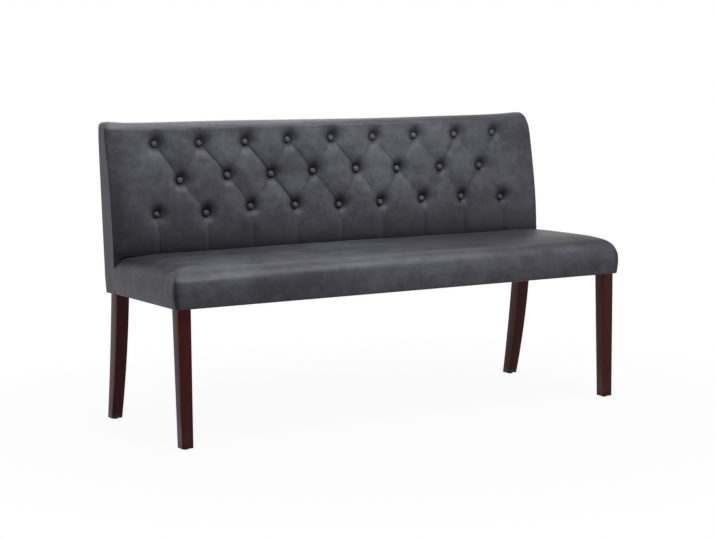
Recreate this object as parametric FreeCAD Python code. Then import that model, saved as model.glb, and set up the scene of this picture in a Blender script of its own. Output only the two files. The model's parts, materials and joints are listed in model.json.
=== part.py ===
import FreeCAD
import Part

import math
import os

Vector = FreeCAD.Vector

# All sizes in millimetres. X runs along the bench, Z is up.
# While modelling, Y is the depth behind the seat's front face.

# Heights, stacked from the floor
LEG_HEIGHT = 393.0
SEAT_THICKNESS = 105.0
SEAT_CROWN = 10.0
BACK_RISE = 387.0

# Seat outside
BENCH_WIDTH = 1500.0
SEAT_DEPTH = 456.0
SEAT_EDGE_RADIUS = 28.0
SEAT_REAR_RADIUS = 10.0
SEAT_CORNER_RADIUS = 16.0
SEAT_END_CROWN = 15.0
SEAT_END_ROUND = 70.0
SEAT_END_DROP = 34.0

# Cover layers
COVER_THICKNESS = 1.5
WADDING_THICKNESS = 7.0
SEAT_FOAM_EDGE = 27.0
LAYER_GAP = 0.25
COVER_HEM = 26.0
DUST_COVER_THICKNESS = 0.8
DUST_COVER_INSET = 14.0

# Legs
LEG_SIZE = 40.0
FOOT_SIZE = 34.0
FOOT_SHIFT = 0.5
LEG_EDGE_RADIUS = 2.5
GLIDE_HEIGHT = 4.0
GLIDE_RADIUS = 9.0
GLIDE_EDGE = 1.5
GLIDE_NAIL_RADIUS = 1.25
GLIDE_NAIL_LENGTH = 16.0

# Rear legs and the posts above them
BACK_GAP = 2.0
POST_SETBACK = 7.0
POST_DEPTH = 46.0
POST_REAR_RAKE = 2.7
POST_FRONT_RAKE = 6.1
HEEL_SPLAY = 71.0
LEG_FRONT_BOW = 10.0
LEG_REAR_BOW = 4.0

# Seat frame
RAIL_THICKNESS = 22.0
REAR_RAIL_SETBACK = 10.0
CROSS_RAIL_WIDTH = 40.0
CROSS_RAIL_SPACING = 490.0
STRAP_SAG_ROOM = 25.0
CORNER_BLOCK_LEG = 85.0
CORNER_BLOCK_MARGIN = 8.0
STRAP_WIDTH = 60.0
STRAP_THICKNESS = 2.0
STRAP_PITCH = 105.0
DOWEL_RADIUS = 4.0
DOWEL_IN_POST = 18.0
DOWEL_IN_RAIL = 28.0
BOLT_RADIUS = 4.0
BOLT_IN_LEG = 22.0
BOLT_HEAD_HEIGHT = 5.3
BOLT_HEAD_RADIUS = 7.5
WASHER_RADIUS = 10.0
WASHER_THICKNESS = 1.6
HOLE_CLEARANCE = 0.1

# Back frame and panels
FRAME_TOP_PADDING = 29.0
TOP_RAIL_HEIGHT = 24.0
LOWER_RAIL_HEIGHT = 60.0
LOWER_RAIL_LIFT = 22.0
BACK_RAIL_THICKNESS = 22.0
UPRIGHT_WIDTH = 40.0
UPRIGHT_PITCHES = 1.75
TUFT_PANEL_THICKNESS = 4.0
REAR_PANEL_THICKNESS = 5.0
REAR_PANEL_LIFT = 6.0
PANEL_SCREW_RADIUS = 2.0
PANEL_SCREW_HEAD = 4.0
PANEL_SCREW_LENGTH = 18.0
PANEL_SCREW_MARGIN = 45.0
PANEL_SCREWS_PER_POST = 3

# Back pad
PAD_OVERHANG = 19.0
PAD_LIFT = 3.0
PAD_LEAN = 48.0
PAD_BULGE = 9.0
PAD_TOP_DROP = 27.0
PAD_END_RADIUS = 18.0

# Diamond tufting
BUTTON_PITCH = 152.0
ROW_PITCH = 103.0
TOP_ROW_DROP = 65.0
END_PANEL = 120.0
ROW_TO_SEAT = 95.0
BUTTON_RADIUS = 12.0
BUTTON_RIM = 2.5
BUTTON_DOME = 5.0
DIMPLE_DEPTH = 13.0
DIMPLE_RADIUS = 26.0
DIMPLE_SEAM_TURN = 90.0
DIMPLE_FLOOR = 13.5
PLEAT_END_DEPTH = 9.0
PLEAT_MID_DEPTH = 6.0
PLEAT_END_WIDTH = 8.0
PLEAT_MID_WIDTH = 20.0
PLEAT_TIP_DEPTH = 1.5
PLEAT_TIP_WIDTH = 7.0
PLEAT_SHOULDER = 3.0
PLEAT_BEND_WIDTH = 0.36
PLEAT_BEND_DEPTH = 0.22
PLEAT_REACH = 0.75
PLEAT_START = 14.0
BOTTOM_PLEAT_STOP = 18.0
TWINE_RADIUS = 1.0
TWINE_HOLE = 1.6
TOGGLE_RADIUS = 8.0
TOGGLE_THICKNESS = 3.0

# How far each hand-set button sits off the even grid, across and up, row by row from the top
BUTTON_DRIFT = [
    [(11, 2), (5, 0), (7, -1), (1, 1), (3, 2), (2, 0), (2, 0), (4, -1), (1, 1)],
    [(7, -6), (13, 3), (9, 1), (3, 5), (6, 5), (4, 0), (13, -2), (13, -2)],
    [(0, -1), (9, -5), (7, 8), (8, 5), (11, -2), (9, -1), (11, 3), (10, 3), (11, -6)]]

# Sizes that follow from the ones above
HALF_WIDTH = BENCH_WIDTH / 2
SEAT_EDGE_HEIGHT = LEG_HEIGHT + SEAT_THICKNESS
SEAT_TOP = SEAT_EDGE_HEIGHT + SEAT_CROWN
BACK_TOP = SEAT_TOP + BACK_RISE
SKIN_DEPTH = COVER_THICKNESS + LAYER_GAP
FRAME_INSET = SKIN_DEPTH + WADDING_THICKNESS + LAYER_GAP
FRAME_HALF = HALF_WIDTH - FRAME_INSET
LEG_INNER = FRAME_HALF - LEG_SIZE
FRAME_BOTTOM = LEG_HEIGHT + COVER_THICKNESS
STRAP_TOP = SEAT_EDGE_HEIGHT - FRAME_INSET - SEAT_FOAM_EDGE
RAIL_TOP = STRAP_TOP - STRAP_THICKNESS
RAIL_HEIGHT = RAIL_TOP - FRAME_BOTTOM
RAIL_MIDDLE = FRAME_BOTTOM + RAIL_HEIGHT / 2
DOWEL_SPACING = RAIL_HEIGHT / 2
POST_FRONT = SEAT_DEPTH + POST_SETBACK
POST_REAR = POST_FRONT + POST_DEPTH
HEEL = POST_REAR + HEEL_SPLAY
BENCH_DEPTH = HEEL
REAR_RAIL_FRONT = POST_FRONT + REAR_RAIL_SETBACK
REAR_RAIL_REAR = REAR_RAIL_FRONT + RAIL_THICKNESS
FRAME_TOP = BACK_TOP - FRAME_TOP_PADDING
REAR_BUILD = REAR_PANEL_THICKNESS + LAYER_GAP + WADDING_THICKNESS + SKIN_DEPTH
BORDER_FRONT = SEAT_DEPTH + BACK_GAP
PAD_BOTTOM = SEAT_TOP + PAD_LIFT
PAD_FRONT = BORDER_FRONT - PAD_OVERHANG
PAD_TOP = BACK_TOP - PAD_TOP_DROP
LOWER_RAIL_BOTTOM = PAD_BOTTOM + LOWER_RAIL_LIFT
LOWER_RAIL_TOP = LOWER_RAIL_BOTTOM + LOWER_RAIL_HEIGHT
TOP_RAIL_BOTTOM = FRAME_TOP - TOP_RAIL_HEIGHT
TOP_ROW = BACK_TOP - TOP_ROW_DROP
ROW_COUNT = int((TOP_ROW - PAD_BOTTOM - ROW_TO_SEAT) / ROW_PITCH) + 1
COLUMN_COUNT = int((BENCH_WIDTH - 2 * END_PANEL) / BUTTON_PITCH) + 1
RAKE = math.radians(POST_FRONT_RAKE)
INWARD = Vector(0, math.cos(RAKE), -math.sin(RAKE))
ACROSS = Vector(1, 0, 0)
UP = Vector(0, 0, 1)
REACH = 2 * BENCH_WIDTH


def post_front(z):
    """Depth of the back frame's raked front face at a height."""
    return POST_FRONT + max(0.0, z - RAIL_TOP) * math.tan(RAKE)


def post_rear(z):
    """Depth of the back frame's rear face at a height."""
    return POST_REAR + (z - LEG_HEIGHT) * math.tan(math.radians(POST_REAR_RAKE))


def block(x0, x1, y0, y1, z0, z1):
    return Part.makeBox(x1 - x0, y1 - y0, z1 - z0, Vector(x0, y0, z0))


def rod(start, direction, radius, length):
    return Part.makeCylinder(radius, length, start, direction)


def side_wire(edges):
    """A closed outline in the YZ plane from lines (two points) and arcs (three points)."""
    shapes = []
    for points in edges:
        corners = [Vector(0, y, z) for y, z in points]
        if len(corners) == 2:
            shapes.append(Part.makeLine(*corners))
        else:
            shapes.append(Part.Arc(*corners).toShape())
    return Part.Wire(shapes)


def along_x(wire, x0, x1):
    face = Part.Face(wire)
    face.translate(Vector(x0, 0, 0))
    return face.extrude(Vector(x1 - x0, 0, 0))


def side_prism(points, x0, x1):
    """A straight-sided outline in the YZ plane, drawn out along the bench."""
    ring = list(points) + [points[0]]
    return along_x(Part.makePolygon([Vector(0, y, z) for y, z in ring]), x0, x1)


def mirrored(shape):
    return shape.mirror(Vector(0, 0, 0), ACROSS)


def with_mirror(shapes):
    return list(shapes) + [mirrored(shape) for shape in shapes]


def corner_arc(y0, z0, y1, z1):
    """Quarter round from a vertical side to a horizontal top."""
    half = math.sqrt(0.5)
    middle = (y1 + (y0 - y1) * half, z0 + (z1 - z0) * half)
    return [(y0, z0), middle, (y1, z1)]


def seat_form(inset, bottom):
    """The crowned seat block, shrunk by an inset on every side but the bottom."""
    radius = SEAT_EDGE_RADIUS - inset
    rear_radius = max(SEAT_REAR_RADIUS - inset, LAYER_GAP)
    front = inset
    rear = SEAT_DEPTH - inset
    edge = SEAT_EDGE_HEIGHT - inset
    top = SEAT_TOP - inset
    end = HALF_WIDTH - inset
    lengthwise = along_x(side_wire([
        [(front, bottom), (front, edge - radius)],
        corner_arc(front, edge - radius, front + radius, edge),
        [(front + radius, edge), (SEAT_DEPTH / 2, top), (rear - rear_radius, edge)],
        corner_arc(rear, edge - rear_radius, rear - rear_radius, edge)[::-1],
        [(rear, edge - rear_radius), (rear, bottom)],
        [(rear, bottom), (front, bottom)]]), -REACH, REACH)
    end_round = SEAT_END_ROUND - inset
    shoulder = edge - SEAT_END_DROP + inset
    crosswise = along_x(side_wire([
        [(-end, bottom), (-end, shoulder)],
        corner_arc(-end, shoulder, end_round - end, edge),
        [(end_round - end, edge), (0, edge + SEAT_END_CROWN), (end - end_round, edge)],
        corner_arc(end, shoulder, end - end_round, edge)[::-1],
        [(end, shoulder), (end, bottom)],
        [(end, bottom), (-end, bottom)]]), -REACH, REACH)
    crosswise.rotate(Vector(0, 0, 0), UP, -90)
    plan = block(-end, end, front, rear, bottom, BACK_TOP)
    uprights = [edge for edge in plan.Edges if abs(edge.tangentAt(edge.FirstParameter).z) > 0.9]
    plan = plan.makeFillet(SEAT_CORNER_RADIUS - inset, uprights)
    return lengthwise.common(crosswise).common(plan)


def rear_opening(z1):
    """Room in the seat's rear wall for the side rails and the straps."""
    return block(-FRAME_HALF - LAYER_GAP, FRAME_HALF + LAYER_GAP, SEAT_DEPTH / 2 + COVER_HEM,
                 SEAT_DEPTH + BACK_GAP, 0, z1).cut(seat_form(FRAME_INSET, 0))


def leg_room():
    """The four legs' outlines with clearance, for cutting the sheets under the seat."""
    gap = LAYER_GAP
    front = block(LEG_INNER - gap, FRAME_HALF + gap, FRAME_INSET - gap,
                  FRAME_INSET + LEG_SIZE + gap, 0, RAIL_TOP)
    rear = block(LEG_INNER - gap, FRAME_HALF + gap, POST_FRONT - gap, HEEL, 0, RAIL_TOP)
    return with_mirror([front, rear])


def seat_cover():
    shell = seat_form(0, LEG_HEIGHT).cut(seat_form(COVER_THICKNESS, FRAME_BOTTOM))
    hem_hole = block(COVER_HEM - HALF_WIDTH, HALF_WIDTH - COVER_HEM, COVER_HEM,
                     SEAT_DEPTH - COVER_HEM, 0, FRAME_BOTTOM)
    return shell.cut([hem_hole, rear_opening(STRAP_TOP + LAYER_GAP)] + leg_room())


def seat_wadding():
    layer = seat_form(SKIN_DEPTH, FRAME_BOTTOM + LAYER_GAP)
    inner = seat_form(SKIN_DEPTH + WADDING_THICKNESS, 0)
    return layer.cut([inner, rear_opening(STRAP_TOP + LAYER_GAP)])


def seat_foam():
    return seat_form(FRAME_INSET, STRAP_TOP)


def dust_cover():
    edge = HALF_WIDTH - DUST_COVER_INSET
    sheet = block(-edge, edge, DUST_COVER_INSET, REAR_RAIL_REAR,
                  LEG_HEIGHT - DUST_COVER_THICKNESS, LEG_HEIGHT)
    return sheet.cut(leg_room())


def foot_places():
    """Centres of the two left feet, front then rear."""
    x = -(FRAME_HALF - LEG_SIZE / 2 - FOOT_SHIFT)
    front = Vector(x, FRAME_INSET + LEG_SIZE / 2, GLIDE_HEIGHT)
    rear = Vector(x, HEEL - FOOT_SIZE / 2, GLIDE_HEIGHT)
    return [front, rear]


def rounded_square(centre, size, radius):
    """A square outline with rounded corners, lying flat at the centre's height."""
    half = size / 2
    flat = half - radius
    bend = flat + radius * math.sqrt(0.5)
    edges = []
    for turn in range(4):
        angle = math.pi / 2 * turn
        ring = [(half, -flat), (half, flat), (bend, bend), (flat, half)]
        spun = [centre + Vector(x * math.cos(angle) - y * math.sin(angle),
                                x * math.sin(angle) + y * math.cos(angle), 0) for x, y in ring]
        edges.append(Part.makeLine(spun[0], spun[1]))
        edges.append(Part.Arc(spun[1], spun[2], spun[3]).toShape())
    return Part.Wire(edges)


def nail_hole(foot):
    return rod(foot, UP, GLIDE_NAIL_RADIUS, GLIDE_NAIL_LENGTH)


def front_leg():
    """The left front leg: a post inside the seat, tapered below it."""
    foot = foot_places()[0]
    centre = Vector(-FRAME_HALF + LEG_SIZE / 2, FRAME_INSET + LEG_SIZE / 2, LEG_HEIGHT)
    taper = Part.makeLoft([rounded_square(foot, FOOT_SIZE, LEG_EDGE_RADIUS),
                           rounded_square(centre, LEG_SIZE, LEG_EDGE_RADIUS)], True, True)
    post = Part.Face(rounded_square(centre, LEG_SIZE, LEG_EDGE_RADIUS)).extrude(UP * (RAIL_TOP - LEG_HEIGHT))
    holes = [nail_hole(foot)] + dowels() + leg_bolts()
    return taper.fuse(post).removeSplitter().cut(holes)


def bowed(start, end, bow):
    """An arc between two side-view points, bowed towards the front."""
    middle = ((start[0] + end[0]) / 2 - bow, (start[1] + end[1]) / 2)
    return [start, middle, end]


def rear_leg():
    """The left rear leg: curved to the floor, and running up inside the back as its post."""
    heel = (HEEL, GLIDE_HEIGHT)
    toe = (HEEL - FOOT_SIZE, GLIDE_HEIGHT)
    knee = (POST_FRONT, LEG_HEIGHT)
    outline = side_wire([
        bowed(toe, knee, LEG_FRONT_BOW),
        [knee, (POST_FRONT, RAIL_TOP)],
        [(POST_FRONT, RAIL_TOP), (post_front(FRAME_TOP), FRAME_TOP)],
        [(post_front(FRAME_TOP), FRAME_TOP), (post_rear(FRAME_TOP), FRAME_TOP)],
        [(post_rear(FRAME_TOP), FRAME_TOP), (POST_REAR, LEG_HEIGHT)],
        bowed((POST_REAR, LEG_HEIGHT), heel, LEG_REAR_BOW),
        [heel, toe]])
    foot = foot_places()[1]
    outer = foot.x - FOOT_SIZE / 2
    inner = foot.x + FOOT_SIZE / 2
    front_view = Part.makePolygon([
        Vector(outer, 0, GLIDE_HEIGHT), Vector(-FRAME_HALF, 0, LEG_HEIGHT),
        Vector(-FRAME_HALF, 0, FRAME_TOP), Vector(-LEG_INNER, 0, FRAME_TOP),
        Vector(-LEG_INNER, 0, LEG_HEIGHT), Vector(inner, 0, GLIDE_HEIGHT),
        Vector(outer, 0, GLIDE_HEIGHT)])
    width = Part.Face(front_view).extrude(Vector(0, REACH, 0))
    leg = along_x(outline, -FRAME_HALF, -LEG_INNER).common(width)
    holes = [nail_hole(foot)] + dowels() + leg_bolts() + panel_screw_holes()
    return leg.cut(holes)


def foot_glides():
    glides = []
    for foot in foot_places():
        face = foot - UP * GLIDE_HEIGHT
        rim = Part.makeCone(GLIDE_RADIUS - GLIDE_EDGE, GLIDE_RADIUS, GLIDE_EDGE, face)
        disc = rod(face + UP * GLIDE_EDGE, UP, GLIDE_RADIUS, GLIDE_HEIGHT - GLIDE_EDGE)
        nail = rod(foot, UP, GLIDE_NAIL_RADIUS - HOLE_CLEARANCE, GLIDE_NAIL_LENGTH)
        glides.append(rim.multiFuse([disc, nail]).removeSplitter())
    return Part.makeCompound(with_mirror(glides))


def front_rail():
    rail = block(-LEG_INNER, LEG_INNER, FRAME_INSET, FRAME_INSET + RAIL_THICKNESS, FRAME_BOTTOM, RAIL_TOP)
    return rail.cut(dowels())


def rear_rail():
    rail = block(-LEG_INNER, LEG_INNER, REAR_RAIL_FRONT, REAR_RAIL_REAR, FRAME_BOTTOM, RAIL_TOP)
    return rail.cut(dowels())


def side_rail():
    """The left side rail, between the front leg and the rear post."""
    rail = block(-FRAME_HALF, RAIL_THICKNESS - FRAME_HALF, FRAME_INSET + LEG_SIZE, POST_FRONT,
                 FRAME_BOTTOM, RAIL_TOP)
    return rail.cut(dowels())


def cross_rails():
    half = CROSS_RAIL_WIDTH / 2
    middle = CROSS_RAIL_SPACING / 2
    rail = block(middle - half, middle + half, FRAME_INSET + RAIL_THICKNESS, REAR_RAIL_FRONT,
                 FRAME_BOTTOM, RAIL_TOP - STRAP_SAG_ROOM)
    return Part.makeCompound(with_mirror([rail]))


def corner_places():
    """Left inner corners of the rails, each with the direction along Y into the seat."""
    x = RAIL_THICKNESS - FRAME_HALF
    return [(x, FRAME_INSET + RAIL_THICKNESS, 1), (x, REAR_RAIL_FRONT, -1)]


def corner_blocks():
    blocks = []
    low = FRAME_BOTTOM + CORNER_BLOCK_MARGIN
    tall = RAIL_HEIGHT - 2 * CORNER_BLOCK_MARGIN
    for x, y, turn in corner_places():
        ring = [Vector(x, y, low), Vector(x + CORNER_BLOCK_LEG, y, low),
                Vector(x, y + turn * CORNER_BLOCK_LEG, low), Vector(x, y, low)]
        wedge = Part.Face(Part.makePolygon(ring)).extrude(UP * tall)
        blocks.append(wedge)
    legs = [block(-FRAME_HALF, -LEG_INNER, FRAME_INSET, FRAME_INSET + LEG_SIZE, 0, SEAT_TOP),
            block(-FRAME_HALF, -LEG_INNER, POST_FRONT, POST_REAR, 0, SEAT_TOP)]
    holes = [bolt_shank(x, y, turn, BOLT_RADIUS + HOLE_CLEARANCE) for x, y, turn in corner_places()]
    return Part.makeCompound(with_mirror([piece.cut(legs + holes) for piece in blocks]))


def bolt_seat(x, y, turn):
    """Middle of a corner block's slanted face, and the direction from it into the leg."""
    half = CORNER_BLOCK_LEG / 2
    into_leg = Vector(-1, -turn, 0)
    into_leg.normalize()
    return Vector(x + half, y + turn * half, RAIL_MIDDLE), into_leg


def bolt_shank(x, y, turn, radius):
    seat, into_leg = bolt_seat(x, y, turn)
    block_depth = CORNER_BLOCK_LEG * math.sqrt(0.5) - (LEG_SIZE - RAIL_THICKNESS) * math.sqrt(2)
    start = seat - into_leg * WASHER_THICKNESS
    return rod(start, into_leg, radius, WASHER_THICKNESS + block_depth + BOLT_IN_LEG)


def left_bolts():
    bolts = []
    for x, y, turn in corner_places():
        seat, into_leg = bolt_seat(x, y, turn)
        start = seat - into_leg * (WASHER_THICKNESS + BOLT_HEAD_HEIGHT)
        corners = []
        for side in range(7):
            angle = math.pi / 3 * side
            sideways = UP.cross(into_leg)
            corners.append(start + sideways * (BOLT_HEAD_RADIUS * math.cos(angle))
                           + UP * (BOLT_HEAD_RADIUS * math.sin(angle)))
        head = Part.Face(Part.makePolygon(corners)).extrude(into_leg * BOLT_HEAD_HEIGHT)
        bolts.append(head.fuse(bolt_shank(x, y, turn, BOLT_RADIUS)).removeSplitter())
    return bolts


def leg_bolts():
    return with_mirror(left_bolts())


def leg_bolt_washers():
    washers = []
    for x, y, turn in corner_places():
        seat, into_leg = bolt_seat(x, y, turn)
        disc = rod(seat - into_leg * WASHER_THICKNESS, into_leg, WASHER_RADIUS, WASHER_THICKNESS)
        washers.append(disc.cut(bolt_shank(x, y, turn, BOLT_RADIUS + HOLE_CLEARANCE)))
    return Part.makeCompound(with_mirror(washers))


def dowel_pair(x, y, heights, into_rail):
    """Two dowels across one butt joint, from a point on the post's face."""
    pair = []
    for z in heights:
        start = Vector(x, y, z) - into_rail * DOWEL_IN_POST
        pair.append(rod(start, into_rail, DOWEL_RADIUS, DOWEL_IN_POST + DOWEL_IN_RAIL))
    return pair


def dowels():
    """Every dowel of the seat and back frames."""
    seat = [RAIL_MIDDLE - DOWEL_SPACING / 2, RAIL_MIDDLE + DOWEL_SPACING / 2]
    rail_x = RAIL_THICKNESS / 2 - FRAME_HALF
    half_rail = RAIL_THICKNESS / 2
    pairs = dowel_pair(-LEG_INNER, FRAME_INSET + half_rail, seat, ACROSS)
    pairs += dowel_pair(-LEG_INNER, REAR_RAIL_FRONT + half_rail, seat, ACROSS)
    pairs += dowel_pair(rail_x, FRAME_INSET + LEG_SIZE, seat, Vector(0, 1, 0))
    pairs += dowel_pair(rail_x, POST_FRONT, seat, Vector(0, -1, 0))
    lower = [LOWER_RAIL_BOTTOM + LOWER_RAIL_HEIGHT / 4, LOWER_RAIL_TOP - LOWER_RAIL_HEIGHT / 4]
    half_back = BACK_RAIL_THICKNESS / 2
    for z in lower + [FRAME_TOP - TOP_RAIL_HEIGHT / 2]:
        pairs += dowel_pair(-LEG_INNER, post_front(z) + half_back, [z], ACROSS)
    return with_mirror(pairs)


def seat_webbing():
    count = int((2 * LEG_INNER - STRAP_WIDTH) / STRAP_PITCH) + 1
    straps = []
    for index in range(count):
        middle = (index - (count - 1) / 2) * STRAP_PITCH
        straps.append(block(middle - STRAP_WIDTH / 2, middle + STRAP_WIDTH / 2, FRAME_INSET,
                            REAR_RAIL_REAR, RAIL_TOP, STRAP_TOP))
    return Part.makeCompound(straps)


def raked_board(z0, z1, front, rear, x0, x1):
    """A board parallel to the back frame's front face, between two depths from that face."""
    return side_prism([(post_front(z0) + front, z0), (post_front(z1) + front, z1),
                       (post_front(z1) + rear, z1), (post_front(z0) + rear, z0)], x0, x1)


def back_top_rail():
    rail = raked_board(TOP_RAIL_BOTTOM, FRAME_TOP, 0, BACK_RAIL_THICKNESS, -LEG_INNER, LEG_INNER)
    return rail.cut(dowels())


def back_lower_rail():
    rail = raked_board(LOWER_RAIL_BOTTOM, LOWER_RAIL_TOP, 0, BACK_RAIL_THICKNESS, -LEG_INNER, LEG_INNER)
    return rail.cut(dowels())


def upright_middle():
    return UPRIGHT_PITCHES * BUTTON_PITCH


def back_uprights():
    half = UPRIGHT_WIDTH / 2
    middle = upright_middle()
    board = raked_board(LOWER_RAIL_TOP, TOP_RAIL_BOTTOM, 0, BACK_RAIL_THICKNESS, middle - half, middle + half)
    return Part.makeCompound(with_mirror([board.cut(panel_screw_holes())]))


def panel_screw_places():
    """Front-face points of the tufting panel over the posts and the uprights."""
    low = LOWER_RAIL_BOTTOM + PANEL_SCREW_MARGIN
    high = FRAME_TOP - PANEL_SCREW_MARGIN
    places = []
    for index in range(PANEL_SCREWS_PER_POST):
        z = low + (high - low) * index / (PANEL_SCREWS_PER_POST - 1)
        places.append((FRAME_HALF - LEG_SIZE / 2, z))
    places.append((upright_middle(), LOWER_RAIL_TOP + PANEL_SCREW_MARGIN))
    places.append((upright_middle(), TOP_RAIL_BOTTOM - PANEL_SCREW_MARGIN))
    return places


def panel_screw(point, inward, radius, head):
    shank = rod(point, inward, radius, PANEL_SCREW_LENGTH)
    cone = Part.makeCone(head, radius, head - radius, point, inward)
    return shank.fuse(cone).removeSplitter()


def panel_screws_sized(clearance):
    screws = []
    rear_inward = Vector(0, -1, 0)
    for x, z in panel_screw_places():
        front = Vector(x, post_front(z) - TUFT_PANEL_THICKNESS, z)
        screws.append(panel_screw(front, INWARD, PANEL_SCREW_RADIUS + clearance, PANEL_SCREW_HEAD + clearance))
        if x > upright_middle():
            high = z + PANEL_SCREW_MARGIN / 2
            rear = Vector(x, post_rear(high) + REAR_PANEL_THICKNESS, high)
            screws.append(panel_screw(rear, rear_inward, PANEL_SCREW_RADIUS + clearance,
                                      PANEL_SCREW_HEAD + clearance))
    return with_mirror(screws)


def panel_screw_holes():
    return panel_screws_sized(HOLE_CLEARANCE)


def panel_screws():
    return Part.makeCompound(panel_screws_sized(0))


def tuft_panel():
    panel = raked_board(PAD_BOTTOM + PAD_LIFT, FRAME_TOP, -TUFT_PANEL_THICKNESS, 0, -FRAME_HALF, FRAME_HALF)
    return panel.cut(panel_screw_holes() + twine_rods(TWINE_HOLE))


def rear_panel():
    low = LEG_HEIGHT + REAR_PANEL_LIFT
    thick = REAR_PANEL_THICKNESS
    panel = side_prism([(post_rear(low), low), (post_rear(low) + thick, low),
                        (post_rear(FRAME_TOP) + thick, FRAME_TOP), (post_rear(FRAME_TOP), FRAME_TOP)],
                       -FRAME_HALF, FRAME_HALF)
    return panel.cut(panel_screw_holes())


def back_rear(z, inset):
    return post_rear(z) + REAR_BUILD - inset


def back_rear_edges(inset, bottom, front):
    """Rear and bottom of the back's side outline, ending at a front depth."""
    top = BACK_TOP - inset
    low_corner = (back_rear(bottom, inset), bottom)
    return [[(back_rear(top, inset), top), low_corner], [low_corner, (front, bottom)]]


def pad_front_arc():
    """Centre and radius of the pad's front in the side view, and its three points."""
    low = Vector(PAD_FRONT, PAD_BOTTOM, 0)
    high = Vector(PAD_FRONT + PAD_LEAN, PAD_TOP, 0)
    chord = high - low
    outward = Vector(-chord.y, chord.x, 0)
    outward.normalize()
    middle = (low + high) * 0.5 + outward * PAD_BULGE
    radius = (chord.Length ** 2 / 4 + PAD_BULGE ** 2) / (2 * PAD_BULGE)
    centre = middle - outward * radius
    return centre, radius, low, middle, high


def pad_surface(z):
    """Depth of the pad's front face at a height."""
    centre, radius = pad_front_arc()[:2]
    return centre.x - math.sqrt(radius ** 2 - (z - centre.y) ** 2)


def on_pad(x, z):
    return Vector(x, pad_surface(z), z)


def plain_back():
    """The whole back before tufting: border below, bowed front, rounded top."""
    centre, radius, low, middle, high = pad_front_arc()
    inward = centre - high
    inward.normalize()
    round_radius = (BACK_TOP - high.y) / (1 + inward.y)
    round_centre = high + inward * round_radius
    top_point = (round_centre.x, BACK_TOP)
    half_way = (high - round_centre) + Vector(0, round_radius, 0)
    half_way.normalize()
    bend = round_centre + half_way * round_radius
    rear_edges = back_rear_edges(0, LEG_HEIGHT, BORDER_FRONT)
    outline = side_wire([
        [(BORDER_FRONT, LEG_HEIGHT), (BORDER_FRONT, PAD_BOTTOM)],
        [(BORDER_FRONT, PAD_BOTTOM), (low.x, low.y)],
        [(low.x, low.y), (middle.x, middle.y), (high.x, high.y)],
        [(high.x, high.y), (bend.x, bend.y), top_point],
        [top_point, rear_edges[0][0]]] + rear_edges)
    body = along_x(outline, -HALF_WIDTH, HALF_WIDTH)
    ends = []
    for edge in body.Edges:
        box = edge.BoundBox
        at_end = box.XLength < LAYER_GAP
        pad_or_top = box.YMax < back_rear(BACK_TOP, -LAYER_GAP) and box.ZMin > PAD_BOTTOM - LAYER_GAP
        underside = box.ZMax < PAD_BOTTOM + LAYER_GAP
        if at_end and pad_or_top and not underside:
            ends.append(edge)
    return body.makeFillet(PAD_END_RADIUS, ends)


def button_places():
    """Pad-surface points of the buttons, row by row from the top."""
    rows = []
    for row in range(ROW_COUNT):
        z = TOP_ROW - row * ROW_PITCH
        count = COLUMN_COUNT - row % 2
        drifts = BUTTON_DRIFT[row % len(BUTTON_DRIFT)]
        places = []
        for index in range(count):
            across, up = drifts[index % len(drifts)]
            places.append(on_pad((index - (count - 1) / 2) * BUTTON_PITCH + across, z + up))
        rows.append(places)
    return rows


def all_buttons():
    return [point for row in button_places() for point in row]


def pleat_section(point, along, width, depth):
    """Cross-section of a pleat: a cusp below the pad's surface, open above it."""
    outward = INWARD * -1
    sideways = along.cross(outward)
    sideways.normalize()

    def place(side, rise):
        return point + sideways * side + outward * rise

    valley = place(0, -depth)
    left = place(-width, PLEAT_SHOULDER)
    right = place(width, PLEAT_SHOULDER)
    return Part.Wire([
        Part.Arc(left, place(-width * PLEAT_BEND_WIDTH, -depth * PLEAT_BEND_DEPTH), valley).toShape(),
        Part.Arc(valley, place(width * PLEAT_BEND_WIDTH, -depth * PLEAT_BEND_DEPTH), right).toShape(),
        Part.makeLine(right, left)])


def pleat(points, widths, depths):
    along = points[-1] - points[0]
    along.normalize()
    wires = [pleat_section(point, along, width, depth)
             for point, width, depth in zip(points, widths, depths)]
    return Part.makeLoft(wires, True, False)


def pleat_run(start, end):
    """Three surface points of a pleat that begins and ends inside the buttons' dimples."""
    share = PLEAT_START / (end - start).Length
    return [on_pad(start.x + (end.x - start.x) * part, start.z + (end.z - start.z) * part)
            for part in [share, 0.5, 1 - share]]


def pleats():
    rows = button_places()
    widths = [PLEAT_END_WIDTH, PLEAT_MID_WIDTH, PLEAT_END_WIDTH]
    depths = [PLEAT_END_DEPTH, PLEAT_MID_DEPTH, PLEAT_END_DEPTH]
    tools = []
    for upper, lower in zip(rows, rows[1:]):
        for start in upper:
            for end in lower:
                if abs(start.x - end.x) < BUTTON_PITCH * PLEAT_REACH:
                    tools.append(pleat(pleat_run(start, end), widths, depths))
    fading_widths = [PLEAT_END_WIDTH, (PLEAT_END_WIDTH + PLEAT_TIP_WIDTH) / 2, PLEAT_TIP_WIDTH]
    fading_depths = [PLEAT_END_DEPTH, (PLEAT_END_DEPTH + PLEAT_TIP_DEPTH) / 2, PLEAT_TIP_DEPTH]
    for row, stop in [(rows[0], PAD_TOP), (rows[-1], PAD_BOTTOM + BOTTOM_PLEAT_STOP)]:
        for start in row:
            first = start.z + math.copysign(PLEAT_START, stop - start.z)
            points = [on_pad(start.x, z) for z in [first, (first + stop) / 2, stop]]
            tools.append(pleat(points, fading_widths, fading_depths))
    return tools


def dimple_floor(point):
    return point + INWARD * DIMPLE_DEPTH


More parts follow.
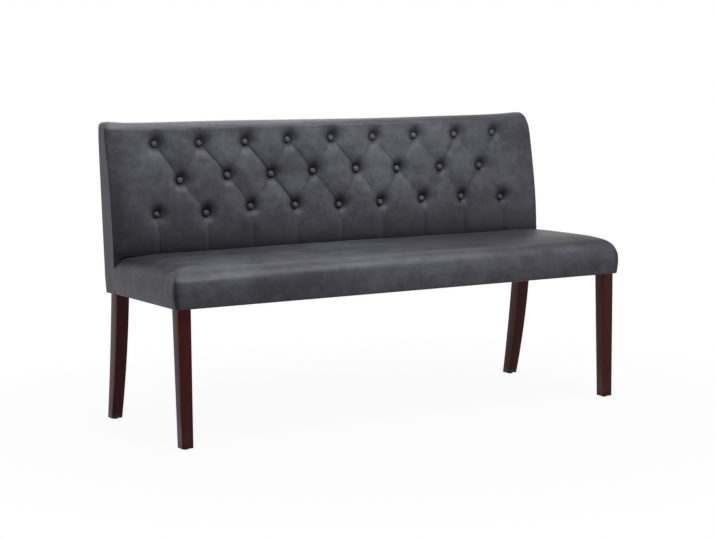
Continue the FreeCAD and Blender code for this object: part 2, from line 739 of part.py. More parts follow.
def dimples():
    """Tapered wells at the buttons, each with its seam turned to one side."""
    tall = DIMPLE_DEPTH + PLEAT_SHOULDER
    wells = []
    for point in all_buttons():
        floor = dimple_floor(point)
        well = Part.makeCone(DIMPLE_FLOOR, DIMPLE_RADIUS, tall, floor, INWARD * -1)
        well.rotate(floor, INWARD, DIMPLE_SEAM_TURN)
        wells.append(well)
    return wells


def twine_rods(radius):
    """Straight runs from each button's back through the panel to its toggle."""
    rods = []
    for point in all_buttons():
        start = dimple_floor(point)
        to_panel = (post_front(start.z) - start.y) * math.cos(RAKE)
        rods.append(rod(start, INWARD, radius, to_panel))
    return rods


def tufted_back():
    return plain_back().cut(pleats() + dimples())


def inside_back(tufted, inset):
    """What a layer of the tufted back encloses, the layer being as thick as the inset."""
    far = -BENCH_DEPTH
    top = BACK_TOP - inset
    edges = back_rear_edges(inset, 0, far)
    edges.append([(far, 0), (far, top)])
    edges.append([(far, top), edges[0][0]])
    end = HALF_WIDTH - inset
    room = along_x(side_wire(edges), -end, end)
    top_ends = [edge for edge in room.Edges
                if edge.BoundBox.XLength < LAYER_GAP and edge.BoundBox.ZMin > top - LAYER_GAP]
    room = room.makeFillet(PAD_END_RADIUS - inset, top_ends)
    shifted = tufted.copy()
    shifted.translate(Vector(0, inset, 0))
    lip = block(-REACH, REACH, -REACH, BORDER_FRONT + inset, 0, PAD_BOTTOM + inset)
    return shifted.common(room).cut(lip)


def back_cover(tufted):
    shell = tufted.cut(inside_back(tufted, COVER_THICKNESS))
    doorway = block(-FRAME_HALF - LAYER_GAP, FRAME_HALF + LAYER_GAP, 0, POST_FRONT, 0, PAD_BOTTOM)
    return shell.cut([doorway] + twine_rods(TWINE_HOLE) + twine_starts())


def twine_starts():
    """Short holes through the cover under each button."""
    return [rod(dimple_floor(point) - INWARD, INWARD, TWINE_HOLE, 2 * SKIN_DEPTH) for point in all_buttons()]


def in_front_of_panel():
    low = PAD_BOTTOM + SKIN_DEPTH
    return side_prism([(-BENCH_DEPTH, low), (post_front(low) - TUFT_PANEL_THICKNESS - LAYER_GAP, low),
                       (post_front(BACK_TOP) - TUFT_PANEL_THICKNESS - LAYER_GAP, BACK_TOP),
                       (-BENCH_DEPTH, BACK_TOP)], -REACH, REACH)


def back_foam(core):
    return core.common(in_front_of_panel()).cut(twine_rods(TWINE_HOLE))


def back_wadding(core):
    """Wadding round the back's frame: ends, top and rear."""
    gap = LAYER_GAP
    low = LEG_HEIGHT + COVER_THICKNESS
    frame = side_prism([(-BENCH_DEPTH, 0), (-BENCH_DEPTH, FRAME_TOP + gap),
                        (post_rear(FRAME_TOP) + REAR_PANEL_THICKNESS + gap, FRAME_TOP + gap),
                        (post_rear(0) + REAR_PANEL_THICKNESS + gap, 0)],
                       -FRAME_HALF - gap, FRAME_HALF + gap)
    front = side_prism([(-BENCH_DEPTH, 0), (POST_FRONT, 0),
                        (POST_FRONT, RAIL_TOP), (post_front(BACK_TOP) - TUFT_PANEL_THICKNESS, BACK_TOP),
                        (-BENCH_DEPTH, BACK_TOP)], -REACH, REACH)
    below = block(-REACH, REACH, -REACH, REACH, 0, low)
    return core.cut([frame, front, below])


def domed_button():
    """One button standing on the origin: a short rim under a dome."""
    ball = (BUTTON_RADIUS ** 2 + BUTTON_DOME ** 2) / (2 * BUTTON_DOME)
    rise = BUTTON_RIM + BUTTON_DOME
    half_way = math.asin(BUTTON_RADIUS / ball) / 2
    shoulder = Vector(ball * math.sin(half_way), 0, rise - ball + ball * math.cos(half_way))
    middle = Vector(0, 0, 0)
    edge = Vector(BUTTON_RADIUS, 0, 0)
    rim = Vector(BUTTON_RADIUS, 0, BUTTON_RIM)
    top = Vector(0, 0, rise)
    outline = Part.Wire([
        Part.makeLine(middle, edge),
        Part.makeLine(edge, rim),
        Part.Arc(rim, shoulder, top).toShape(),
        Part.makeLine(top, middle)])
    return Part.Face(outline).revolve(middle, UP, 360)


def tuft_buttons():
    buttons = []
    for point in all_buttons():
        button = domed_button()
        button.Placement = FreeCAD.Placement(dimple_floor(point), FreeCAD.Rotation(UP, INWARD * -1))
        buttons.append(button)
    return Part.makeCompound(buttons)


def button_twines():
    return Part.makeCompound(twine_rods(TWINE_RADIUS))


def button_toggles():
    toggles = []
    for point in all_buttons():
        start = dimple_floor(point)
        to_panel = (post_front(start.z) - start.y) * math.cos(RAKE)
        toggles.append(rod(start + INWARD * to_panel, INWARD, TOGGLE_RADIUS, TOGGLE_THICKNESS))
    return Part.makeCompound(toggles)


def save(name, shape):
    """Write one node, with the bench's middle over the origin."""
    moved = shape.copy()
    moved.translate(Vector(0, -BENCH_DEPTH / 2, 0))
    moved.exportStep(os.path.join("parts", name + ".step"))


def main():
    os.makedirs("parts", exist_ok=True)
    left_front = front_leg()
    left_rear = rear_leg()
    left_rail = side_rail()
    tufted = tufted_back()
    core = inside_back(tufted, SKIN_DEPTH)
    nodes = {
        "front_leg_left": left_front,
        "front_leg_right": mirrored(left_front),
        "rear_leg_left": left_rear,
        "rear_leg_right": mirrored(left_rear),
        "foot_glides": foot_glides(),
        "front_rail": front_rail(),
        "rear_rail": rear_rail(),
        "side_rail_left": left_rail,
        "side_rail_right": mirrored(left_rail),
        "cross_rails": cross_rails(),
        "corner_blocks": corner_blocks(),
        "leg_bolts": Part.makeCompound(leg_bolts()),
        "leg_bolt_washers": leg_bolt_washers(),
        "frame_dowels": Part.makeCompound(dowels()),
        "seat_webbing": seat_webbing(),
        "seat_foam": seat_foam(),
        "seat_wadding": seat_wadding(),
        "seat_cover": seat_cover(),
        "dust_cover": dust_cover(),
        "back_top_rail": back_top_rail(),
        "back_lower_rail": back_lower_rail(),
        "back_uprights": back_uprights(),
        "tuft_panel": tuft_panel(),
        "rear_panel": rear_panel(),
        "panel_screws": panel_screws(),
        "back_foam": back_foam(core),
        "back_wadding": back_wadding(core),
        "back_cover": back_cover(tufted),
        "tuft_buttons": tuft_buttons(),
        "button_twines": button_twines(),
        "button_toggles": button_toggles(),
    }
    for name, shape in nodes.items():
        save(name, shape)


main()
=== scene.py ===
import json
import math

import bpy
import numpy as np
from mathutils import Matrix, Vector, noise


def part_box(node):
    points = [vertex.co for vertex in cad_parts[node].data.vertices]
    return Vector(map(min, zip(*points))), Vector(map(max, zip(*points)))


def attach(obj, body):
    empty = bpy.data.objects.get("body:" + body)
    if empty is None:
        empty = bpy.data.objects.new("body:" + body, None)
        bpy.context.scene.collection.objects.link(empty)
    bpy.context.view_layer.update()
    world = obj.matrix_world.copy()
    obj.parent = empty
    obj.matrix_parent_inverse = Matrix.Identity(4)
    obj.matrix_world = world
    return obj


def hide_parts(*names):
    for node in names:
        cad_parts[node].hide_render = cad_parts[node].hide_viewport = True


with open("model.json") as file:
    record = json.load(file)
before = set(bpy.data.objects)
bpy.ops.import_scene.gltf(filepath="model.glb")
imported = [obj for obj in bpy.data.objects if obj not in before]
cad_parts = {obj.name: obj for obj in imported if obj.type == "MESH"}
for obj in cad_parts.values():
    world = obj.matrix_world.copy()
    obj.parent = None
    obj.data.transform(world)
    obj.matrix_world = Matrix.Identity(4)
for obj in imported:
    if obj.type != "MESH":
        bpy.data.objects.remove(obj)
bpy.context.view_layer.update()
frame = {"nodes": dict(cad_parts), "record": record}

# Lengths are in metres, unless a line says millimetres. The bench faces -Y, and its floor is Z = 0.
BODY = "root"
PHOTO_WIDTH = 716
PHOTO_HEIGHT = 540

seat_low, seat_high = (Vector(corner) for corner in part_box("seat_cover"))
back_low, back_high = (Vector(corner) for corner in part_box("back_cover"))
HALF_WIDTH = seat_high.x

# Back pad, side view
PAD_BOTTOM = seat_high.z - 0.006
PAD_TOP = back_high.z - 0.027
PAD_FRONT = back_low.y
PAD_LEAN = 0.048
PAD_SLOPE = PAD_LEAN / (PAD_TOP - PAD_BOTTOM)
PAD_BULGE = 0.009
BORDER_FRONT = seat_high.y - 0.003
REAR_RAKE = math.tan(math.radians(2.7))
PAD_END_DROP = 0.042
PAD_END_BAND = 0.09
TOP_EDGE_INSET = 0.001
REAR_EDGE_DROP = 0.002
LIP_SHARE = 0.85
LIP_RISE = 0.001
FULLY_FRONT = 0.99
PARTLY_FRONT = 0.3

# Points along each stretch of the back's side outline, along its length and across its ends
LIP_POINTS = 5
FRONT_POINTS = 150
ROUND_POINTS = 20
TOP_POINTS = 9
REAR_POINTS = 60
BOTTOM_POINTS = 8
BORDER_POINTS = 9
LENGTH_POINTS = 540
ROLL_POINTS = 22
END_POINTS = 14

# Ends of the back
END_SETBACK = 0.006
END_ROLL = 0.030
END_FULLNESS = 2.4
END_SWELL = 0.0045
END_SWELL_POWER = 12
END_SWELL_LOW = 0.25
END_SWELL_BAND = 0.05
REAR_SWELL = 0.50
END_WAVE = 0.0005
END_WAVE_SCALE = 25.0
END_CALM = 0.015

# Top of the back: rounded corners, a slight sag and a higher left end
CORNER_ROUND = 0.020
CORNER_DROP = CORNER_ROUND * 0.9
TOP_BAND = 0.06
TOP_SAG = 0.004
TOP_SAG_RIGHT = 0.003
TOP_SAG_RIGHT_X = (-0.10, 0.30)
TOP_SAG_POWER = 12
TOP_LIFT_LEFT = 0.0045
TOP_LIFT_LEFT_X = (-0.10, 0.45)
TOP_LIFT_CORNER = 0.003
TOP_LIFT_CORNER_X = (0.66, 0.74)
TOP_SEAM_DROP = 0.010
TOP_SEAM_SINK = 0.0007
TOP_SEAM_WIDTH = 0.0020

# Waves in the back cover: how many per metre and how deep
SLOW_SCALE = 9.0
SLOW_WAVE = 0.0012
QUICK_SCALE = 34.0
QUICK_WAVE = 0.0004

# Tufting
BUTTON_PITCH = 0.152
ROW_PITCH = 0.103
TOP_ROW = back_high.z - 0.065
COLUMNS = 9
ROWS = 3
BUTTON_RADIUS = 0.0122
BUTTON_RISE = 0.0090
BUTTON_SHANK = 0.0015
BUTTON_RINGS = 12
BUTTON_AROUND = 40
GATHERS = 10
GATHER_DEPTH = 0.03
DIMPLE_DEPTH = 0.018
DIMPLE_SPREAD = 0.023
SOFT_FALL = 1.5

# How many millimetres each hand-set button sits to the right of its even place, and above it
BUTTON_DRIFT = (
    ((11, 2), (5, 0), (7, -1), (1, 1), (3, 2), (2, 0), (2, 0), (4, -1), (1, 1)),
    ((7, -6), (13, 3), (9, 1), (3, 5), (6, 5), (4, 0), (13, -2), (13, -2)),
    ((0, -1), (9, -5), (7, 8), (8, 5), (11, -2), (9, -1), (11, 3), (10, 3), (11, -6)),
)

# How marked each pleat is, row by row from the left, falling to the right and to the left
PLEATS_RIGHT = (
    (0.8, 1.0, 1.3, 0.9, 1.0, 0.7, 0.45, 0.45),
    (0.35, 0.7, 1.3, 0.75, 0.55, 0.6, 0.5, 0.25),
)
PLEATS_LEFT = (
    (0.5, 0.8, 0.5, 0.6, 0.5, 0.6, 1.0, 0.8),
    (0.2, 0.4, 0.8, 0.8, 0.8, 0.8, 0.5, 1.0),
)

# Pleats: valley, crease and the lap of one side over the other
PLEAT_LONGEST = BUTTON_PITCH * 0.75
PLEAT_VALLEY = 0.0042
PLEAT_VALLEY_LEAST = 0.4
PLEAT_TIPS = (0.007, 0.007)
PLEAT_LINE = 0.6
CREASE_RIGHT = 0.0022
CREASE_LEFT = 0.0024
CREASE_WIDTH = 0.0030
CREASE_MIDDLE = 0.65
LAP_RIGHT = 0.0010
LAP_LEFT = -0.0009
LAP_STEP = 0.0020
LAP_WIDTH = 0.014
LAP_FADE = 0.004
LINE_WIDTH = 0.0022
LINE_MIDDLE = 0.22
TIP_REACH = 0.035
VALLEY_BLEND = 3.0

# Upright pleats above the top row of buttons and below the bottom row
TOP_PLEAT = {"fold": 0.0003, "middle": 0.0008, "sharp": 0.0016, "tips": (0.006, 0.0)}
TOP_PLEAT_RISE = 0.004
TOP_PLEAT_LINE = 0.5
LOW_PLEAT = {"fold": 0.0005, "middle": 0.0012, "tips": (0.010, 0.0), "reach": 0.030, "width": 0.014}
LOW_CREASE = 0.0008
LOW_CREASE_FIRST = 0.0024
LOW_PLEAT_LINE = 250

# Shade kept in the cover's colour, from 0 to 1 in the deepest folds. Heights are above the pad's bottom.
FOLD_START = 0.003
FOLD_RANGE = 0.010
TUCK_HEIGHTS = (-0.03, 0.18)
SLIT_SHADE = 0.35
SLIT_HEIGHT = 0.008
SLIT_SPREAD = 0.007
ROLL_SHADE_RIGHT = 0.32
ROLL_SHADE_LEFT = 0.34
ROLL_SHADE_LOW = 0.42
ROLL_LOW_HEIGHT = 0.10
ROLL_INSET = 0.018
ROLL_SPREAD = 0.042
LEFT_SHADE = 0.62
LEFT_SHADE_X = (-0.72, -0.48)
LEFT_SHADE_HEIGHTS = (0.06, 0.30)
WELL_SHADE = 0.95
WELL_SHIFT = (0.006, 0.010)
WELL_TURN = (0.45, 0.89)
WELL_REACH = (0.030, 0.026)
MOAT_WIDTH = 0.0095
UNDER_SHADE = 0.36
UNDER_DROP = 0.021
UNDER_SPREAD = 0.014
END_STRIP_SHADE = 0.30
SEAM_SHADE = 0.45

# Painted shade and a painted highlight along the back's top edge. Drops are below the top.
TOP_SHADE = 0.26
TOP_SHADE_RIGHT = 0.22
TOP_SHADE_RIGHT_X = (-0.2, 0.6)
TOP_SHADE_DROPS = (0.036, 0.020)
TOP_CLEAR_X = (-0.4, 0.2)
TOP_CLEAR_DROPS = (0.018, 0.008)
TOP_HIGHLIGHT = 0.55
TOP_HIGHLIGHT_X = (-0.15, 0.60)
TOP_HIGHLIGHT_DROPS = (0.020, 0.008)

# Seat
SEAT_CROWN = 0.010
SEAT_EDGE = seat_high.z - SEAT_CROWN
SEAT_FRONT_ROUND = 0.042
SEAT_FRONT_BULGE = 0.004
SEAT_BULGE_START = 0.25
SEAT_FRONT_BAND = 0.01
SEAT_FRONT_WAVE = 0.0018
SEAT_FRONT_WAVE_SCALE = 7.0
SEAT_REAR_ROUND = 0.008
SEAT_END_ROUND = 0.036
SEAT_RIGHT_ROUND = 0.014
SEAT_END_BULGE = 0.007
SEAT_END_BAND = 0.03
SEAT_DROP = 0.036
SEAT_TOP_BAND = 0.02
SEAT_CORNER_POWER = 9
SEAT_POINTS = (200, 66, 17)
CROWN_POWER_LEFT = 12
CROWN_POWER_RIGHT = 26
CROWN_REAR = 0.6
CROWN_FLATTER = 3
CROWN_FLATTER_X = (0.30, 0.65)
SEAT_CALM = 0.8
SEAT_CALM_X = (0.50, 0.70)
LONG_WAVE = 0.0024
LONG_SCALE = 11.0
LONG_STRETCH = (0.35, 2.2, 1.0)
SHORT_WAVE = 0.0006
SHORT_SCALE = 30.0
SHORT_STRETCH = (0.8, 2.0, 1.0)
SEAM_RADIUS = 0.0016
SEAM_SINK = 0.0007
SEAM_LEVELS = 24
SEAM_AROUND = 10
SEAM_FOOT = 0.002
SEAM_SEARCH = 0.003
GRIP_LEVELS = 10
GRIP_RISE = 0.03
GRIP_REAR = (0.05, 0.01)
COVER_CLOTH = {"quality": 4, "mass": 0.2, "tension_stiffness": 18, "compression_stiffness": 18,
               "shear_stiffness": 6, "bending_stiffness": 1.0, "use_pressure": True}
AT_RIM = 0.999
TINY = 1e-6

# Painted shade and a painted highlight on the seat's cover. Depths are behind the seat's front.
CORNER_SHADE = 0.85
CORNER_SPREAD = 0.010
FRONT_FACE_DEPTHS = (0.002, 0.012)
RIGHT_PAINTED_SHADE = 0.78
RIGHT_PAINTED_SHADE_X = (-0.50, 0.45)
REAR_PAINTED_SHADE = 0.75
REAR_PAINTED_SHADE_X = (-0.40, 0.05)
REAR_PAINTED_SHADE_DEPTHS = (0.06, 0.30)
FRONT_HIGHLIGHT = 0.17
FRONT_HIGHLIGHT_DEPTH = 0.046
FRONT_HIGHLIGHT_SPREAD = 0.013
FRONT_HIGHLIGHT_LESS = 0.8
FRONT_HIGHLIGHT_LESS_X = (0.10, 0.60)

# Legs
LEG_SIZE = 0.040
FOOT_SIZE = 0.034
FOOT_DRIFT = 0.0005
FOOT_HEIGHT = 0.004
LEG_EDGE = 0.0018
LEG_EDGE_STEPS = 4
FRONT_LEG_LEVELS = (0.1, 0.2, 0.3)
REAR_LEG_LEVELS = 22
LEG_FRONT_BOW = 0.010
LEG_REAR_BOW = 0.004
POST_SETBACK = 0.007
POST_DEPTH = 0.046
POST_BEND = 0.46
POST_FRONT_RAKE = math.tan(math.radians(6.1))

# Surroundings
FLOOR_HALF = 14.0
AMBIENT = 0.085
WHITE = (1.0, 1.0, 1.0, 1.0)
SURROUND_RAYS = ("Is Camera Ray", "Is Glossy Ray", "Is Transmission Ray")


class Value:
    """A shader socket that takes part in Python arithmetic."""

    def __init__(self, finish, socket):
        self.finish = finish
        self.socket = socket

    def maths(self, operation, first, second):
        return self.finish.node("ShaderNodeMath", {"operation": operation}, {0: first, 1: second})

    def __add__(self, other):
        return self.maths("ADD", self, other)

    def __radd__(self, other):
        return self.maths("ADD", other, self)

    def __mul__(self, other):
        return self.maths("MULTIPLY", self, other)

    def __rmul__(self, other):
        return self.maths("MULTIPLY", other, self)

    def or_larger(self, other):
        return self.maths("MAXIMUM", self, other)


class Finish:
    """The nodes of one material, or of the world, built one by one."""

    def __init__(self, name, world=False):
        self.owner = (bpy.data.worlds if world else bpy.data.materials).new(name)
        self.ending = "ShaderNodeOutputWorld" if world else "ShaderNodeOutputMaterial"
        self.owner.use_nodes = True
        self.tree = self.owner.node_tree
        self.tree.nodes.clear()

    def node(self, kind, settings=None, inputs=None, output=0):
        made = self.tree.nodes.new(kind)
        for key, value in (settings or {}).items():
            if key == "stops":
                self.set_stops(made.color_ramp, value)
            else:
                setattr(made, key, value)
        for key, value in (inputs or {}).items():
            self.feed(made.inputs[key], value)
        return Value(self, made.outputs[output]) if made.outputs else None

    def feed(self, socket, value):
        if isinstance(value, Value):
            self.tree.links.new(value.socket, socket)
        else:
            socket.default_value = value

    @staticmethod
    def set_stops(ramp, stops):
        while len(ramp.elements) < len(stops):
            ramp.elements.new(1.0)
        for element, (place, shade) in zip(ramp.elements, stops):
            element.position = place
            element.color = (shade, shade, shade, 1.0)

    def place(self, stretch=(1, 1, 1)):
        """The surface point in metres, stretched along the axes."""
        point = self.node("ShaderNodeTexCoord", output="Object")
        return self.node("ShaderNodeMapping", {}, {"Vector": point, "Scale": stretch})

    def cloud(self, scale, detail=3.0, rough=0.5, stretch=(1, 1, 1)):
        return self.node("ShaderNodeTexNoise", {}, {
            "Vector": self.place(stretch), "Scale": scale, "Detail": detail, "Roughness": rough})

    def cells(self, scale, feature="F1", stretch=(1, 1, 1)):
        return self.node("ShaderNodeTexVoronoi", {"feature": feature}, {
            "Vector": self.place(stretch), "Scale": scale})

    def ramp(self, value, stops):
        return self.node("ShaderNodeValToRGB", {"stops": stops}, {"Fac": value})

    def kept(self, name):
        """An amount kept on the points of the mesh."""
        return self.node("ShaderNodeAttribute", {"attribute_name": name}, output="Fac")

    def blend(self, factor, first, second):
        """A colour between two colours."""
        return self.node("ShaderNodeMix", {"data_type": "RGBA"}, {
            0: factor, 6: first, 7: second}, output=2)

    def bump(self, height, distance, strength, under=None):
        inputs = {"Height": height, "Distance": distance, "Strength": strength}
        if under is not None:
            inputs["Normal"] = under
        return self.node("ShaderNodeBump", {}, inputs)

    def shows_white(self):
        """1 for rays that show the surround itself: from the camera, a gloss or clear glass."""
        camera, glossy, clear = (self.node("ShaderNodeLightPath", output=ray) for ray in SURROUND_RAYS)
        return camera.or_larger(glossy.or_larger(clear))

    def surface(self, **sockets):
        return self.ended(self.node("ShaderNodeBsdfPrincipled", {}, {
            name.replace("_", " "): value for name, value in sockets.items()}))

    def patterned(self, pattern, first, second, rough, relief):
        """A surface whose colour, roughness and relief all follow one pattern."""
        return self.surface(Base_Color=self.blend(pattern, first, second),
                            Roughness=rough[0] + rough[1] * pattern, Normal=self.bump(pattern, *relief))

    def ended(self, shader):
        """Join the shader to the output, and give the material or world."""
        self.node(self.ending, {}, {"Surface": shader})
        return self.owner


def tint(red, green, blue):
    """An opaque colour."""
    return (red, green, blue, 1.0)


def slate_cover():
    """Matt slate-grey coated fabric: soft grain, faint mottling and rub patches, with painted shade and a
    painted highlight kept on the mesh.
    """
    finish = Finish("slate_cover")
    mottle = finish.cloud(9.0, detail=4.0, rough=0.6)
    rub = finish.cloud(38.0, detail=5.0, rough=0.65)
    pores = finish.cells(620.0)
    creases = finish.cells(300.0, "DISTANCE_TO_EDGE")
    streak = finish.cloud(16.0, detail=4.0, rough=0.6, stretch=(0.3, 1.0, 0.8))
    shade = finish.ramp(mottle * 0.35 + rub * 0.3 + streak * 0.35, [(0.42, 0.0), (0.585, 1.0)])
    color = finish.blend(shade, tint(0.048, 0.048, 0.058), tint(0.101, 0.101, 0.121))
    on_skin = finish.ramp(creases, [(0.0, 0.0), (0.06, 1.0)])
    color = finish.blend(on_skin, tint(0.036, 0.036, 0.041), color)
    # Painted shade: the colour darkens towards near black by the amount kept on the points.
    color = finish.blend(finish.kept("fold") * 0.94, color, tint(0.010, 0.010, 0.012))
    # Painted highlight: the colour lightens by the amount kept on the points.
    color = finish.blend(finish.kept("rubbed"), color, tint(0.21, 0.21, 0.235))
    rough = 0.33 + 0.14 * rub + 0.05 * pores
    grain = finish.bump(creases, distance=0.0004, strength=0.35)
    skin = finish.bump(pores, distance=0.0002, strength=0.25, under=grain)
    waves = finish.bump(finish.cloud(55.0), distance=0.0012, strength=0.35, under=skin)
    return finish.surface(Base_Color=color, Roughness=rough, Normal=waves,
                          Specular_IOR_Level=0.18, Specular_Tint=tint(0.90, 0.90, 1.0))


def stained_wood():
    """Dark red-brown stain under satin lacquer, grain running up the leg."""
    finish = Finish("stained_wood")
    along = (1, 1, 0.045)
    streak = finish.cloud(210.0, detail=6.0, rough=0.62, stretch=along)
    figure = finish.cloud(42.0, stretch=along)
    pores = finish.cells(900.0, stretch=(1, 1, 0.03))
    shade = finish.ramp(streak * 0.65 + figure * 0.35, [(0.32, 0.0), (0.7, 1.0)])
    color = finish.blend(shade, tint(0.032, 0.0030, 0.0026), tint(0.088, 0.0090, 0.0080))
    rough = 0.30 + 0.12 * streak
    grain = finish.bump(pores, distance=0.00025, strength=0.4)
    lacquer = finish.bump(streak, distance=0.0003, strength=0.3, under=grain)
    return finish.surface(Base_Color=color, Roughness=rough, Normal=lacquer,
                          Specular_IOR_Level=0.11, Coat_Weight=0.025, Coat_Roughness=0.24)


def bare_wood(name, pale, dark, lines):
    """Unfinished timber inside the bench."""
    finish = Finish(name)
    ring = finish.cloud(lines, detail=4.0, rough=0.55, stretch=(0.05, 1, 1))
    color = finish.blend(finish.ramp(ring, [(0.35, 0.0), (0.65, 1.0)]), dark, pale)
    return finish.surface(Base_Color=color, Roughness=0.62 + 0.15 * ring,
                          Normal=finish.bump(ring, distance=0.0004, strength=0.4))


def zinc_steel():
    finish = Finish("zinc_steel")
    spangle = finish.cells(260.0)
    brushed = finish.cloud(420.0)
    color = finish.blend(brushed, tint(0.50, 0.50, 0.48), tint(0.68, 0.68, 0.65))
    return finish.surface(Base_Color=color, Metallic=1.0, Roughness=0.26 + 0.18 * spangle,
                          Normal=finish.bump(brushed, distance=0.0002, strength=0.3))


def moulded_plastic(name, first, second):
    finish = Finish(name)
    return finish.patterned(finish.cloud(700.0), first, second, rough=(0.42, 0.2), relief=(0.0002, 0.3))


def woven_cloth(name, first, second, threads):
    """Plain weave from two crossed sets of threads."""
    finish = Finish(name)
    warp, weft = (finish.node("ShaderNodeTexWave", {"bands_direction": way}, {
        "Vector": finish.place(), "Scale": threads, "Distortion": 0.6}) for way in ("X", "Y"))
    return finish.patterned(warp * weft, first, second, rough=(0.8, 0.15), relief=(0.0004, 0.5))


def open_foam(name, first, second, scale):
    finish = Finish(name)
    return finish.patterned(finish.cells(scale), second, first, rough=(0.85, 0.1), relief=(0.0008, 0.5))


def placed(name, data):
    """A new object in the scene, for a mesh, a lamp or a camera."""
    made = bpy.data.objects.new(name, data)
    bpy.context.scene.collection.objects.link(made)
    return made


def make_piece(name, points, faces, material):
    """A smooth-shaded mesh that rides with the bench."""
    mesh = bpy.data.meshes.new(name)
    mesh.from_pydata([tuple(point) for point in points], [], faces)
    mesh.validate()
    mesh.update()
    mesh.polygons.foreach_set("use_smooth", [True] * len(mesh.polygons))
    mesh.materials.append(material)
    piece = placed(name, mesh)
    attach(piece, BODY)
    return piece


def keep_amounts(piece, name, amounts):
    """Keep an amount for each point, such as how deep it lies in a fold, for the painted shade and painted
    highlight in the cover's colour.
    """
    layer = piece.data.attributes.new(name, "FLOAT", "POINT")
    layer.data.foreach_set("value", np.asarray(amounts, dtype=np.float32))


def grid_faces(rows, columns, close_rows=False, flip=False):
    """Quads over a grid of points stored row by row."""
    faces = []
    for row in range(rows if close_rows else rows - 1):
        following = (row + 1) % rows
        for column in range(columns - 1):
            quad = [row * columns + column, row * columns + column + 1,
                    following * columns + column + 1, following * columns + column]
            faces.append(quad[::-1] if flip else quad)
    return faces


def ring_faces(rings, around):
    """Quads between closed rings of points stored one after the other."""
    faces = []
    for ring in range(rings - 1):
        for step in range(around):
            after = (step + 1) % around
            faces.append([ring * around + step, ring * around + after,
                          (ring + 1) * around + after, (ring + 1) * around + step])
    return faces


def ring_caps(rings, around):
    """The two flat faces that close a stack of rings."""
    return [list(range(around))[::-1], [(rings - 1) * around + step for step in range(around)]]


def bumpy(points, scale, seed):
    """Smooth noise between -1 and 1 at each point."""
    shift = Vector((seed * 7.1, seed * 3.7, seed * 1.9))
    return np.array([noise.noise(Vector(point) * scale + shift) for point in points])


def smooth_step(value, start, end):
    """A soft rise from 0 to 1 between two values."""
    part = np.clip((value - start) / (end - start), 0.0, 1.0)
    return part * part * (3 - 2 * part)


def near_top(z, drops):
    """A soft rise from 0 to 1 between two drops below the back's top."""
    return smooth_step(z, back_high.z - drops[0], back_high.z - drops[1])


def hump(distance, spread):
    """A soft bell that is 1 at no distance."""
    return np.exp(-(distance / spread) ** 2)


def quarter_drop(share, fullness=2.0):
    """Height lost at a share (1 at the rim, 0 inside) of an elliptical round."""
    return 1 - np.clip(1 - np.clip(share, 0, 1) ** fullness, 0, 1) ** (1 / fullness)


def pad_arc():
    """Centre and radius of the pad's bowed front, in the YZ plane."""
    low = np.array([PAD_FRONT, PAD_BOTTOM])
    high = np.array([PAD_FRONT + PAD_LEAN, PAD_TOP])
    chord = high - low
    length = np.linalg.norm(chord)
    outward = np.array([-chord[1], chord[0]]) / length
    radius = (length ** 2 / 4 + PAD_BULGE ** 2) / (2 * PAD_BULGE)
    centre = (low + high) / 2 + outward * (PAD_BULGE - radius)
    return centre, radius


ARC_CENTRE, ARC_RADIUS = pad_arc()


def pad_surface(z):
    return ARC_CENTRE[0] - np.sqrt(ARC_RADIUS ** 2 - (z - ARC_CENTRE[1]) ** 2)


def back_rear(z):
    """Depth of the back's rear face at a height."""
    return back_high.y - (back_high.z - z) * REAR_RAKE


def button_rows():
    rows = []
    for row in range(ROWS):
        count = COLUMNS - row % 2
        z = TOP_ROW - row * ROW_PITCH
        places = []
        for index in range(count):
            across, above = (drift / 1000 for drift in BUTTON_DRIFT[row][index])
            places.append(((index - (count - 1) / 2) * BUTTON_PITCH + across, z + above))
        rows.append(places)
    return rows


def segment_distance(x, z, start, end):
    """Signed distance from a straight pleat, and how far along it each point is."""
    run = np.array(end) - np.array(start)
    length = np.linalg.norm(run)
    along = ((x - start[0]) * run[0] + (z - start[1]) * run[1]) / length
    side = ((x - start[0]) * -run[1] + (z - start[1]) * run[0]) / length
    beyond = np.maximum(np.maximum(-along, along - length), 0)
    return side, along, beyond, length


def pleat_depth(x, z, start, end, fold, middle, sharp, tips, reach=0.020, width=0.022):
    """Depth of one pleat: a crisp crease in a soft valley, deeper towards its two tips.

    Also the step where one side laps over the other, and how dark its line is."""
    side, along, beyond, length = segment_distance(x, z, start, end)
    inside = np.clip(along, 0, length)
    near_tips = tips[0] * np.exp(-inside / reach) + tips[1] * np.exp(-(length - inside) / reach)
    depth = middle + near_tips
    distance = np.hypot(side, beyond)
    to_tip = np.exp(-np.minimum(inside, length - inside) / TIP_REACH)
    crease = np.exp(-distance / CREASE_WIDTH) * (CREASE_MIDDLE + (1 - CREASE_MIDDLE) * to_tip)
    valley = np.exp(-np.abs(distance / width) ** SOFT_FALL)
    line = (LINE_MIDDLE + (1 - LINE_MIDDLE) * to_tip) * hump(distance, LINE_WIDTH)
    lap = fold * np.tanh(side / LAP_STEP) * np.exp(-np.abs(side) / LAP_WIDTH) * np.exp(-beyond / LAP_FADE)
    return depth * valley + sharp * crease, lap, line


